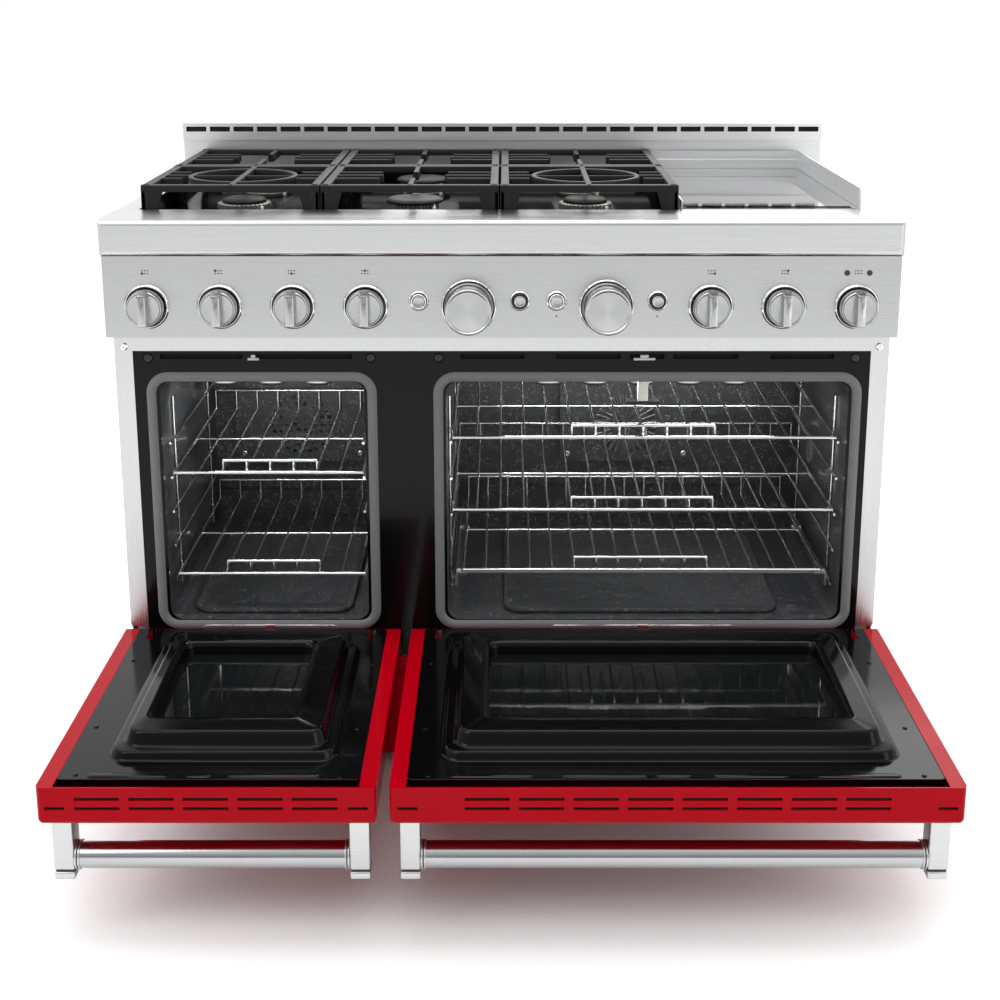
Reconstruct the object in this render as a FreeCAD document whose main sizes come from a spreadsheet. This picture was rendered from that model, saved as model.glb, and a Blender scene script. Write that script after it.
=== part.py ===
import FreeCAD, Part
import Sketcher
import math
import os
import re

# Freestanding gas range of the 48 inch class: six burners and a griddle over two ovens.
# Millimetres. +Z is up, the front faces -Y, and +X is to the right of someone facing it.
# The origin is on the floor, under the middle of the whole box with both oven doors open.
# The oven doors are built open, lying level, and everything else at rest.
# In the formulas below y is counted back from the face of the front ledge, at front_y.

Vector = FreeCAD.Vector
Rotation = FreeCAD.Rotation

DIMENSIONS = {
    # whole range
    "front_y": -116,
    "ledge_half": 608,
    "body_half": 603,
    "body_depth": 710,
    "cook_height": 914,
    "sheet": 2,
    "gap": 0.4,
    # gaps, folds and cutters
    "over": 9,
    "vent_x": 260,
    "vent_half": 90,
    "vent_low": 700,
    "vent_pitch": 22,
    "vent_high": 6,
    "inlet_hole": 30,
    "cord_hole": 14,
    "rail_front": 60,
    "rail_rear": 700,
    "post_rear": 676,
    "post_drop": 40,
    "foot_base": 7,
    "nut_round": 13,
    "nut_low": 12,
    "nut_high": 20,
    "arm_room": 5,
    "arm_drop": 3,
    "arm_lift": 9,
    "bumper_round": 8,
    "bumper_rise": 1.5,
    "ring_step": 4,
    "ring_high": 6,
    "ring_gap": 2.5,
    "dial_gap": 1.5,
    "button_gap": 0.5,
    "button_ring": 4,
    # front ledge and control panel
    "ledge_height": 54,
    "ledge_depth": 112,
    "ledge_wall": 2.5,
    "ledge_round": 7,
    "panel_front": 4,
    "panel_half": 605,
    "panel_low": 733,
    "panel_high": 860,
    "panel_depth": 36,
    # front frame and its trim
    "frame_front": 37,
    "frame_half": 573,
    "frame_wall": 2.5,
    "sill_front": 47,
    "sill_high": 238,
    "frame_low": 190,
    "trim_half": 600,
    "trim_low": 705,
    "trim_front": 35,
    "trim_foot": 246,
    "vent_slot_z": 692,
    "vent_slot_high": 8,
    # base and feet
    "kick_front": 40,
    "kick_low": 18,
    "kick_step": 158,
    "kick_high": 188,
    "rail_low": 40,
    "rail_size": 26,
    "rail_wall": 3,
    "foot_x": 560,
    "foot_front": 90,
    "foot_rear": 660,
    "foot_pad": 24,
    "foot_stem": 6,
    "foot_high": 64,
    "post_x": 577,
    "post_size": 22,
    # oven cavities
    "small_x": -375.5,
    "small_half": 160.5,
    "large_x": 228,
    "large_half": 315.5,
    "oven_low": 256,
    "oven_high": 655,
    "oven_back": 480,
    "oven_round": 20,
    "gasket_side": 19.5,
    "gasket_end": 15.5,
    "gasket_front": 32.3,
    "gasket_round": 34,
    # oven doors
    "door_front": -478,
    "door_back": 32,
    "door_low": 191,
    "door_high": 245,
    "door_wall": 2.5,
    "door_rim": 22,
    "door_rear_rim": 6,
    "door_round": 8,
    "small_door_x": -385,
    "small_door_half": 222,
    "large_door_x": 230.5,
    "large_door_half": 376.5,
    "pivot_back": 4.5,
    "pivot_high": 218,
    "arm_edge": 45,
    "arm_thick": 5,
    "arm_half": 9,
    "pin_round": 4,
    "liner_wall": 1.6,
    "plug_gap": 7,
    "plug_step": 12,
    "plug_top": 33,
    "plug_rear": -40,
    "plug_front": -407,
    "plug_inset": 15.5,
    "plug_slope": 7,
    "window_rear": -101,
    "window_front": -341,
    "small_window_half": 95.5,
    "large_window_half": 247,
    "glass_thick": 4,
    "door_slot_wide": 59,
    "door_slot_high": 4.5,
    "door_slot_pitch": 71,
    "lower_slot_z": 213,
    "upper_slot_z": 226.5,
    "end_slot_edge": 24,
    "end_slot_half": 13,
    "block_half": 13,
    "block_front": 24,
    "liner_step_slope": 3,
    "plug_second": 20,
    "plug_second_rear": 16,
    "window_sink": 14,
    "pane_edge": 7,
    "outer_pane_edge": 9,
    "grip_edge": 25,
    "grip_wide": 27,
    "grip_deep": 34,
    "grip_long": 93,
    "collar_long": 7,
    "collar_rise": 2,
    "pin_long": 22,
    "heel_half": 12,
    "heel_deep": 18,
    "heel_low": 20,
    "heel_high": 16,
    "handle_y": -440,
    "handle_z": 126,
    "handle_round": 18,
    # racks
    "rack_front": 74,
    "rack_back": 450,
    "rack_middle": 262,
    "rod_round": 3,
    "wire_round": 2.2,
    "rack_lip": 36,
    "rack_edge": 8.4,
    "ladder_edge": 6.2,
    "upright_edge": 2.5,
    "rail_drop": 5.6,
    "small_rack_low": 321,
    "small_rack_step": 57.6,
    "large_rack_low": 309.2,
    "large_rack_step": 60.9,
    "rollout_high": 327.6,
    "rollout_half": 291,
    "roller_round": 7,
    "grip_rise": 14,
    "grip_back": 20,
    "post_slim": 0.3,
    # oven fittings
    "shaft_room": 2,
    "motor_deep": 46,
    "ceramic_half": 8,
    "ceramic_front": 112,
    "ceramic_deep": 16,
    "ceramic_low": 602,
    "clamp_half": 27,
    "clamp_low": 598,
    "clamp_high": 603,
    "hole_round": 3.2,
    "lamp_round": 22,
    "lamp_thick": 3.5,
    "tube_round": 4,
    "cross_tube_round": 4.6,
    "tube_z": 628,
    "tube_front": 150,
    "tube_long": 270,
    "tube_lead": 60,
    "loop_round": 19,
    "loop_pitch": 76,
    "small_pan_half": 130,
    "large_pan_half": 225,
    "pan_low": 262,
    "pan_thick": 2,
    "pan_near": 62,
    "pan_far": 430,
    "pan_corner": 30,
    "tongue_front": 44,
    "tongue_share": 0.68,
    "pan_leg": 10,
    "pan_leg_edge": 30,
    "pan_leg_front": 100,
    "pan_leg_rear": 400,
    "ladder_front": 120,
    "ladder_rear": 404,
    "ladder_low": 290,
    "ladder_long": 320,
    "side_rail_front": 66,
    "side_rail_long": 386,
    "frame_edge": 13,
    "hook_long": 9,
    "hook_wide": 14,
    # fans
    "fan_z": 463,
    "small_fan_x": -372,
    "large_fan_x": 229,
    "fan_round": 58,
    "fan_front": 462,
    "cover_front": 456,
    "cover_half": 122,
    "cover_low": 392,
    "cover_high": 590,
    "motor_round": 36,
    "fan_deep": 13,
    "fan_plate": 1.5,
    "hub_round": 10,
    "shaft_long": 34,
    "blade_inner": 22,
    "cover_screw": 14,
    # cooktop
    "pan_floor": 886,
    "pan_left": -571,
    "pan_right": 281,
    "pan_front": 116,
    "pan_rear": 647,
    "grate_left": -567,
    "grate_pitch": 282,
    "grate_wide": 281,
    "grate_front": 118,
    "grate_length": 263,
    "grate_second": 382,
    "grate_high": 952,
    "grate_low": 916,
    "grate_bar": 11,
    "finger_wide": 8,
    "finger_deep": 14,
    "ring_round": 90,
    "burner_front": 249.5,
    "burner_rear": 513.5,
    "griddle_left": 286,
    "griddle_right": 559,
    "griddle_front": 122,
    "griddle_rear": 640,
    "griddle_thick": 12,
    "griddle_high": 915,
    "splash_high": 948,
    "burner_hole": 20,
    "plate_edge": 6,
    "trough_front": 5,
    "trough_wide": 19,
    "trough_deep": 6,
    "drain_first": 24,
    "drain_pitch": 40,
    "drain_long": 26,
    "drain_front": 12,
    "drain_wide": 6,
    "splash_wall": 3,
    "splash_gap": 2,
    "divider_high": 14,
    "divider_wall": 1.5,
    "finger_pitch": 40,
    "short_finger": 46,
    "long_finger": 82,
    "half_bar": 92,
    "centre_bar": 10,
    "ring_bar": 9,
    "ring_deep": 12,
    "cross_half": 84,
    "cross_wide": 6,
    "grate_leg": 40,
    "arch_high": 942,
    "side_arch_high": 940,
    # backguard
    "guard_half": 606,
    "guard_front": 650,
    "guard_high": 1000,
    "guard_step": 968,
    "guard_inset": 6,
    "guard_slot_pitch": 44.65,
    "guard_slot_wide": 38,
    "guard_slot_high": 9.5,
    "guard_slot_low": 984,
    # controls
    "knob_z": 782,
    "knob_pitch": 111,
    "knob_nearest": -207,
    "griddle_knob_x": 318,
    "knob_round": 26,
    "bezel_round": 35,
    "stem_round": 4,
    "small_dial_x": -50,
    "large_dial_x": 159.5,
    "dial_round": 34,
    "dial_bezel": 42,
    "dial_deep": 46,
    "button_round": 12,
    "button_z": 791,
    "grip_half": 6.5,
    "grip_out": 42,
    "grip_in": 20,
    "grip_end": 2,
    "bore_deep": 13,
    "light_offset": -76,
    "start_offset": 77.5,
    "manifold_back": 66,
    "manifold_round": 10.65,
    "inlet_x": 560,
    "inlet_y": 672,
    "inlet_z": 110,
    "inlet_long": 37,
    "socket_long": 15,
    "socket_wall": 4,
    "valve_half": 13,
    "valve_front": 24,
    "valve_high": 15,
    "valve_stem": 12,
    "cord_entry_x": 470,
}

doc = FreeCAD.newDocument("gas_range")
sheet = doc.addObject("Spreadsheet::Sheet", "dims")
for row, (alias, number) in enumerate(DIMENSIONS.items(), start=1):
    sheet.set(f"A{row}", alias)
    sheet.set(f"B{row}", str(number))
    sheet.setAlias(f"B{row}", alias)
doc.recompute()

SUB_PARTS = []
WORD = re.compile(r"[a-z][a-z_]*[a-z]")

# Turns that stand a sketch or a cylinder, drawn in its own XY plane, in the range.
PAD_TO_RIGHT = Rotation(Vector(1, 1, 1), 120)
PAD_TO_FRONT = Rotation(Vector(1, 0, 0), 90)
AXIS_TO_FRONT = Rotation(Vector(0, 0, 1), -90)
AXIS_TO_TOP = Rotation(Vector(0, 1, 0), -90)
CYLINDER_TURNS = {
    "x": Rotation(Vector(0, 1, 0), 90),
    "y": Rotation(Vector(1, 0, 0), -90),
    "z": Rotation(),
}


def terms(formula):
    """Turn the dimension names in a short formula into references to the sheet."""
    return WORD.sub(lambda found: "dims." + found.group(0), str(formula))


def bind(obj, **formulas):
    """Bind an object's sizes to formulas of dimension names."""
    for name, formula in formulas.items():
        obj.setExpression(name, terms(formula))
    return obj


def stand(obj, x, y, z, turn=Rotation()):
    """Stand an object at x, y, z; y counts back from the face of the ledge."""
    obj.Placement = FreeCAD.Placement(Vector(0, 0, 0), turn)
    obj.setExpression("Placement.Base.x", terms(x))
    obj.setExpression("Placement.Base.y", terms(f"front_y + ({y})"))
    obj.setExpression("Placement.Base.z", terms(z))
    return obj


def box(low_x, high_x, low_y, high_y, low_z, high_z):
    """A box between two planes on each axis."""
    solid = doc.addObject("Part::Box", "box")
    bind(solid, Length=f"({high_x}) - ({low_x})", Width=f"({high_y}) - ({low_y})",
         Height=f"({high_z}) - ({low_z})")
    return stand(solid, low_x, low_y, low_z)


def rod(axis, radius, length, x, y, z):
    """A cylinder that starts at x, y, z and runs along one axis."""
    solid = doc.addObject("Part::Cylinder", "rod")
    bind(solid, Radius=radius, Height=length)
    return stand(solid, x, y, z, CYLINDER_TURNS[axis])


def ball(radius, x, y, z):
    """A sphere, used as the elbow of a pipe or a bent wire."""
    solid = doc.addObject("Part::Sphere", "ball")
    bind(solid, Radius=radius)
    return stand(solid, x, y, z)


def fuse(*shapes):
    """Shapes welded or cast into one solid."""
    joined = doc.addObject("Part::MultiFuse", "fuse")
    joined.Shapes = list(shapes)
    return joined


def together(*shapes):
    """Separate solids that share one node."""
    collected = doc.addObject("Part::Compound", "group")
    collected.Links = list(shapes)
    return collected


def cut(base, *tools):
    """A shape with other shapes taken out of it."""
    opened = doc.addObject("Part::Cut", "cut")
    opened.Base = base
    opened.Tool = tools[0] if len(tools) == 1 else fuse(*tools)
    return opened


def sketch_in(body, points):
    """A closed outline of straight lines, each corner bound by two formulas."""
    sketch = body.newObject("Sketcher::SketchObject", "outline")
    plane = next(item for item in body.Origin.OriginFeatures if item.Role == "XY_Plane")
    sketch.AttachmentSupport = [(plane, "")]
    sketch.MapMode = "FlatFace"
    count = len(points)
    turns = [2 * math.pi * index / count for index in range(count)]
    starts = [Vector(100 * math.cos(turn), 100 * math.sin(turn), 0) for turn in turns]
    for index in range(count):
        sketch.addGeometry(Part.LineSegment(starts[index], starts[(index + 1) % count]), False)
    for index in range(count):
        sketch.addConstraint(Sketcher.Constraint("Coincident", index, 2, (index + 1) % count, 1))
    for index, (across, along) in enumerate(points):
        for kind, formula, start in (("DistanceX", across, starts[index].x),
                                     ("DistanceY", along, starts[index].y)):
            place = sketch.addConstraint(Sketcher.Constraint(kind, -1, 1, index, 1, start))
            sketch.setExpression(f"Constraints[{place}]", terms(formula))
    return sketch


def padded(points, length, x, y, z, turn, corner=None):
    """A body padded from an outline, with the edges along the pad rounded where asked."""
    body = doc.addObject("PartDesign::Body", "body")
    pad = body.newObject("PartDesign::Pad", "pad")
    pad.Profile = sketch_in(body, points)
    bind(pad, Length=length)
    stand(body, x, y, z, turn)
    if corner is None:
        return body
    doc.recompute()
    edges = [f"Edge{place}" for place, edge in enumerate(pad.Shape.Edges, start=1)
             if abs(edge.tangentAt(edge.FirstParameter).z) > 0.99]
    rounding = body.newObject("PartDesign::Fillet", "rounding")
    rounding.Base = (pad, edges)
    bind(rounding, Radius=corner)
    return body


def rounded_slab(centre, half, low_z, high_z, front, back, corner):
    """A slab that stands facing the front, with its four corners rounded."""
    outline = [(f"-({half})", low_z), (half, low_z), (half, high_z), (f"-({half})", high_z)]
    return padded(outline, f"({back}) - ({front})", centre, back, 0, PAD_TO_FRONT, corner)


def turned(points, x, y, z, turn):
    """A body turned on a lathe: each point is (distance along the axis, radius)."""
    body = doc.addObject("PartDesign::Body", "body")
    revolution = body.newObject("PartDesign::Revolution", "revolution")
    sketch = sketch_in(body, points)
    revolution.Profile = sketch
    revolution.ReferenceAxis = (sketch, ["H_Axis"])
    revolution.Angle = 360
    return stand(body, x, y, z, turn)


def frustum(centre, half, low_y, high_y, low_z, high_z, slope, corner):
    """A flat-topped block whose four sides lean in, with its leaning corners rounded."""
    wedge = doc.addObject("Part::Wedge", "wedge")
    bind(wedge, Xmin=f"-({half})", Xmax=half, X2min=f"({slope}) - ({half})",
         X2max=f"({half}) - ({slope})", Ymin=0, Ymax=f"({high_z}) - ({low_z})",
         Zmin=0, Zmax=f"({high_y}) - ({low_y})", Z2min=slope,
         Z2max=f"({high_y}) - ({low_y}) - ({slope})")
    stand(wedge, centre, high_y, low_z, PAD_TO_FRONT)
    doc.recompute()
    leaning = [place for place, edge in enumerate(wedge.Shape.Edges, start=1)
               if abs(edge.tangentAt(edge.FirstParameter).z) > 0.3]
    rounded = doc.addObject("Part::Fillet", "rounded")
    rounded.Base = wedge
    rounded.Edges = [(place, corner, corner) for place in leaning]
    return rounded


def sub_part(label, obj):
    """Name the object that makes one node."""
    obj.Label = label
    SUB_PARTS.append(obj)
    return obj


OVENS = {
    "small": {"rods": 7, "low_rods": 3, "slots": 5},
    "large": {"rods": 15, "low_rods": 5, "slots": 8},
}
KNOB_PLACES = [f"knob_nearest - {step} * knob_pitch" for step in (3, 2, 1, 0)]
KNOB_PLACES += [f"griddle_knob_x + {step} * knob_pitch" for step in (0, 1, 2)]
KNOB_NAMES = ["burner_knob_1", "burner_knob_2", "burner_knob_3", "burner_knob_4",
              "burner_knob_5", "burner_knob_6", "griddle_knob"]
VENT_ROWS = 4
GUARD_SLOTS = 27
DRAINS = 6
# Left and right ends of the vent slots over the doors, and the places of the door bumpers.
VENT_SLOTS = [(-531, -403), (-387, -233), (-64, 35), (85, 185), (199, 253), (267, 368),
              (418, 517)]
BUMPERS = (-550, -204, -98, 550)
BURNER_PLACES = [(f"grate_left + {column} * grate_pitch + grate_wide / 2", row)
                 for column in range(3) for row in ("burner_front", "burner_rear")]


# --- casing -------------------------------------------------------------------------------

def make_casing():
    """Side and rear panels: folded steel sheet over the base frame."""
    sides = []
    for low, high in (("-body_half", "sheet - body_half"), ("body_half - sheet", "body_half")):
        sheet_side = box(low, high, "kick_front + 1", "body_depth - sheet",
                         "rail_low - over", "cook_height - 2 * sheet")
        door_room = box(low, high, "kick_front - over", "sill_front + 1", "kick_high + 1",
                        "trim_foot")
        sides.append(cut(sheet_side, door_room))
    sub_part("side_panels", together(*sides))

    panel = box("sheet - body_half", "body_half - sheet", "body_depth - sheet", "body_depth",
                "rail_low", "cook_height - 1")
    holes = [rod("y", "inlet_hole", "2 * over", "inlet_x", "body_depth - over", "inlet_z"),
             rod("y", "cord_hole", "2 * over", "cord_entry_x", "body_depth - over", "inlet_z")]
    for level in range(VENT_ROWS):
        for side in (-1, 1):
            middle = f"{side} * vent_x"
            low = f"vent_low + {level} * vent_pitch"
            holes.append(box(f"{middle} - vent_half", f"{middle} + vent_half",
                             "body_depth - over", "body_depth + over", low,
                             f"{low} + vent_high"))
    sub_part("rear_panel", cut(panel, *holes))


def make_base():
    """Angle-iron base with corner uprights, the kick plate and the four screw feet."""
    bars = []
    for side in (-1, 1):
        inner = f"{side} * foot_x - rail_size / 2"
        outer = f"{side} * foot_x + rail_size / 2"
        web = inner if side < 0 else f"{outer} - rail_wall"
        bars.append(box(inner, outer, "rail_front", "rail_rear", "rail_low",
                        "rail_low + rail_wall"))
        bars.append(box(web, f"{web} + rail_wall", "rail_front", "rail_rear", "rail_low",
                        "rail_low + rail_size"))
    for row in ("foot_front", "foot_rear"):
        low = f"{row} - rail_size / 2"
        bars.append(box("-foot_x", "foot_x", low, f"{row} + rail_size / 2",
                        "rail_low", "rail_low + rail_wall"))
        bars.append(box("-foot_x", "foot_x", low, f"{low} + rail_wall",
                        "rail_low", "rail_low + rail_size"))
    for low, tie_low, tie_high in (
            ("-post_x - post_size", "-post_x - post_size", "-foot_x"),
            ("post_x", "foot_x", "post_x + post_size")):
        for back in ("rail_front", "post_rear"):
            bars.append(box(low, f"{low} + post_size", back, f"{back} + post_size",
                            "rail_low", "pan_floor - post_drop"))
            bars.append(box(tie_low, tie_high, back, f"{back} + post_size",
                            "rail_low", "rail_low + rail_wall"))
    base = fuse(*bars)
    corners = [(f"{side} * foot_x", row)
               for side in (-1, 1) for row in ("foot_front", "foot_rear")]
    holes = [rod("z", "foot_stem + gap", "rail_size + over", across, row, "rail_low - over")
             for across, row in corners]
    sub_part("base_frame", cut(base, *holes))

    outline = [(0, "kick_low"), ("sheet", "kick_low"), ("sheet", "kick_step - sheet"),
               ("3 * sheet", "kick_step - sheet"), ("3 * sheet", "kick_high"),
               ("2 * sheet", "kick_high"), ("2 * sheet", "kick_step"), (0, "kick_step")]
    sub_part("kick_plate", padded(outline, "2 * trim_half", "-trim_half", "kick_front", 0,
                                  PAD_TO_RIGHT))

    foot = [(0, 0), (0, "foot_pad - sheet"), ("sheet", "foot_pad"), ("foot_base", "foot_pad"),
            ("nut_low", "nut_round"), ("nut_high", "nut_round"), ("nut_high", "foot_stem"),
            ("foot_high", "foot_stem"), ("foot_high", 0)]
    feet = [turned(foot, across, row, 0, AXIS_TO_TOP) for across, row in corners]
    sub_part("levelling_feet", together(*feet))


def make_front_frame():
    """Enamelled front frame with both oven openings, and the stainless trim around it."""
    face = box("-frame_half", "frame_half", "frame_front", "frame_front + frame_wall",
               "sill_high", "trim_low - gap")
    fold = box("-frame_half", "frame_half", "frame_front", "sill_front + frame_wall",
               "sill_high", "sill_high + frame_wall")
    sill = box("-frame_half", "frame_half", "sill_front", "sill_front + frame_wall",
               "frame_low", "sill_high + frame_wall")
    openings = []
    for oven in OVENS:
        openings.append(rounded_slab(f"{oven}_x", f"{oven}_half", "oven_low", "oven_high",
                                     "frame_front - over", "sill_front + over",
                                     "oven_round"))
        middle, half = f"{oven}_door_x", f"{oven}_door_half"
        for side in (-1, 1):
            arm = f"{middle} + {side} * ({half} - arm_edge)"
            openings.append(box(f"{arm} - arm_room", f"{arm} + arm_room", "frame_front - over",
                                "sill_front + over", "pivot_high - arm_half - arm_drop",
                                "pivot_high + arm_half + arm_lift"))
    for left, right in VENT_SLOTS:
        openings.append(box(left, right, "frame_front - over", "frame_front + over",
                            "vent_slot_z", "vent_slot_z + vent_slot_high"))
    for place in BUMPERS:
        openings.append(rod("y", "bumper_round", "2 * over", place, "frame_front - over",
                            "vent_slot_z + bumper_rise"))
    sub_part("front_frame", cut(fuse(face, fold, sill), *openings))

    outer = box("-trim_half", "trim_half", "trim_front", "trim_front + 2 * sheet", "trim_foot",
                "panel_low")
    inner = box("-frame_half - gap", "frame_half + gap", "trim_front - over",
                "trim_front + over", "frame_low - over", "trim_low")
    sub_part("front_trim", cut(outer, inner))


def make_controls_and_ledge():
    """Folded control panel, the front ledge above it, and the rings around the controls."""
    outer = box("-panel_half", "panel_half", "panel_front", "panel_front + panel_depth",
                "panel_low + gap", "panel_high - gap")
    inner = box("sheet - panel_half", "panel_half - sheet", "panel_front + sheet",
                "panel_front + panel_depth + over", "panel_low + gap + sheet",
                "panel_high + over")
    holes = [rod("y", "stem_round + 1", "2 * over", place, "-over", "knob_z")
             for place in KNOB_PLACES]
    for oven in OVENS:
        dial = f"{oven}_dial_x"
        holes.append(rod("y", "stem_round + 1", "2 * over", dial, "-over", "knob_z"))
        for offset in ("light_offset", "start_offset"):
            holes.append(rod("y", "button_round + button_gap", "2 * over",
                             f"{dial} + {offset}", "-over", "button_z"))
    sub_part("control_panel", cut(outer, inner, *holes))

    body = box("-ledge_half", "ledge_half", 0, "ledge_depth", "cook_height - ledge_height",
               "cook_height")
    doc.recompute()
    rounded = doc.addObject("Part::Fillet", "rounded")
    rounded.Base = body
    front_edges = [place for place, edge in enumerate(body.Shape.Edges, start=1)
                   if edge.BoundBox.YMax < DIMENSIONS["front_y"] + 1
                   and edge.BoundBox.XLength > 1]
    end_edges = [place for place, edge in enumerate(body.Shape.Edges, start=1)
                 if edge.BoundBox.YMax < DIMENSIONS["front_y"] + 1 and edge.BoundBox.ZLength > 1]
    radius = DIMENSIONS["ledge_round"]
    rounded.Edges = [(place, radius, radius) for place in front_edges + end_edges]
    hollow = box("ledge_wall - ledge_half", "ledge_half - ledge_wall", "ledge_wall + 1",
                 "ledge_depth + over", "cook_height - ledge_height + ledge_wall",
                 "cook_height - ledge_wall")
    below = box("ledge_wall - ledge_half", "ledge_half - ledge_wall", "panel_depth",
                "ledge_depth + over", "cook_height - ledge_height - over",
                "cook_height - 2 * over")
    sub_part("front_ledge", cut(rounded, hollow, below))

    rings = []
    for place in KNOB_PLACES:
        rings.append(ring("bezel_round", "knob_round + ring_gap", place, "knob_z"))
    for oven in OVENS:
        dial = f"{oven}_dial_x"
        rings.append(ring("dial_bezel", "dial_round + dial_gap", dial, "knob_z"))
        for offset in ("light_offset", "start_offset"):
            rings.append(ring("button_round + button_ring", "button_round + button_gap",
                              f"{dial} + {offset}", "button_z"))
    sub_part("control_bezels", together(*rings))


def ring(outer, inner, x, z):
    """A bezel on the face of the control panel, with a bevelled front edge."""
    outline = [(0, inner), (0, outer), ("ring_step", outer), ("ring_high", f"{outer} - sheet"),
               ("ring_high", inner)]
    return turned(outline, x, "panel_front", z, AXIS_TO_FRONT)


def make_backguard():
    """Hollow backguard: a slotted vent band that stands a little proud of the face below it."""
    band = box("-guard_half", "guard_half", "guard_front", "body_depth - sheet", "guard_step",
               "guard_high")
    face = box("-guard_half", "guard_half", "guard_front + guard_inset", "body_depth - sheet",
               "cook_height + gap", "guard_step")
    band_room = box("sheet - guard_half", "guard_half - sheet", "guard_front + sheet",
                    "body_depth - 2 * sheet", "guard_step + sheet", "guard_high - sheet")
    face_room = box("sheet - guard_half", "guard_half - sheet",
                    "guard_front + guard_inset + sheet", "body_depth - 2 * sheet",
                    "cook_height - over", "guard_step + sheet")
    slots = []
    for place in range(GUARD_SLOTS):
        middle = f"{place - GUARD_SLOTS // 2} * guard_slot_pitch"
        slots.append(box(f"{middle} - guard_slot_wide / 2", f"{middle} + guard_slot_wide / 2",
                         "guard_front - over", "guard_front + over / 2", "guard_slot_low",
                         "guard_slot_low + guard_slot_high"))
    sub_part("backguard", cut(fuse(band, face), fuse(band_room, face_room, *slots)))


# --- cooktop ------------------------------------------------------------------------------

def make_cooktop():
    """Sunken burner pan, griddle plate with its splash walls, burners and grates."""
    top = box("-body_half", "body_half", "ledge_depth + gap", "guard_front + guard_inset",
              "cook_height - 2.5", "cook_height")
    basin = box("pan_left - sheet", "pan_right + sheet", "pan_front - sheet", "pan_rear + sheet",
                "pan_floor - sheet", "cook_height - 1")
    hollow = box("pan_left", "pan_right", "pan_front", "pan_rear", "pan_floor",
                 "cook_height + over")
    griddle_hole = box("griddle_left - 1", "griddle_right + 1", "griddle_front - 1",
                       "griddle_rear + 1", "cook_height - 2 * over", "cook_height + over")
    holes = [rod("z", "burner_hole", "2 * over", across, row, "pan_floor - over")
             for across, row in BURNER_PLACES]
    sub_part("cooktop_pan", cut(fuse(top, basin), hollow, griddle_hole, *holes))

    plate = box("griddle_left", "griddle_right", "griddle_front", "griddle_rear",
                "griddle_high - griddle_thick", "griddle_high")
    trough = box("griddle_left + plate_edge", "griddle_right - plate_edge",
                 "griddle_front + trough_front", "griddle_front + trough_front + trough_wide",
                 "griddle_high - trough_deep", "griddle_high + over")
    drains = []
    for place in range(DRAINS):
        left = f"griddle_left + drain_first + {place} * drain_pitch"
        drains.append(box(left, f"{left} + drain_long", "griddle_front + drain_front",
                          "griddle_front + drain_front + drain_wide",
                          "griddle_high - griddle_thick - over", "griddle_high + over"))
    sub_part("griddle_plate", cut(plate, trough, *drains))

    left, right = "griddle_left - splash_gap", "griddle_right + splash_gap"
    rear = "griddle_rear + splash_gap"
    front = "griddle_front - 3 * splash_gap"
    walls = fuse(
        box(f"{left} - divider_wall", f"{right} + splash_wall", rear, f"{rear} + splash_wall",
            "cook_height", "splash_high"),
        box(right, f"{right} + splash_wall", front, f"{rear} + splash_wall",
            "cook_height", "splash_high"),
        box(f"{left} - divider_wall", left, front, f"{rear} + splash_wall",
            "cook_height", "cook_height + divider_high"))
    sub_part("griddle_splash", walls)

    # Lathe profiles as (height over the pan, radius): the ported head and its cap.
    base = [(-36, 0), (-36, 16), (0, 16), (0, 40), (4, 40), (7, 34), (12, 36), (12, 44),
            (21, 44), (21, 0)]
    cap = [(21, 0), (21, 47), (25, 48), (29, 44), (31, 30), (31, 0)]
    sub_part("burner_bases", together(*[turned(base, across, row, "pan_floor + gap", AXIS_TO_TOP)
                                        for across, row in BURNER_PLACES]))
    sub_part("burner_caps", together(*[turned(cap, across, row, "pan_floor + gap", AXIS_TO_TOP)
                                       for across, row in BURNER_PLACES]))

    for column, name in enumerate(("grate_left", "grate_centre", "grate_right")):
        has_ring = name != "grate_centre"
        front = grate_casting(column, "grate_front", has_ring)
        rear = grate_casting(column, "grate_second", False)
        sub_part(f"{name}_pair", together(front, rear))


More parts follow.
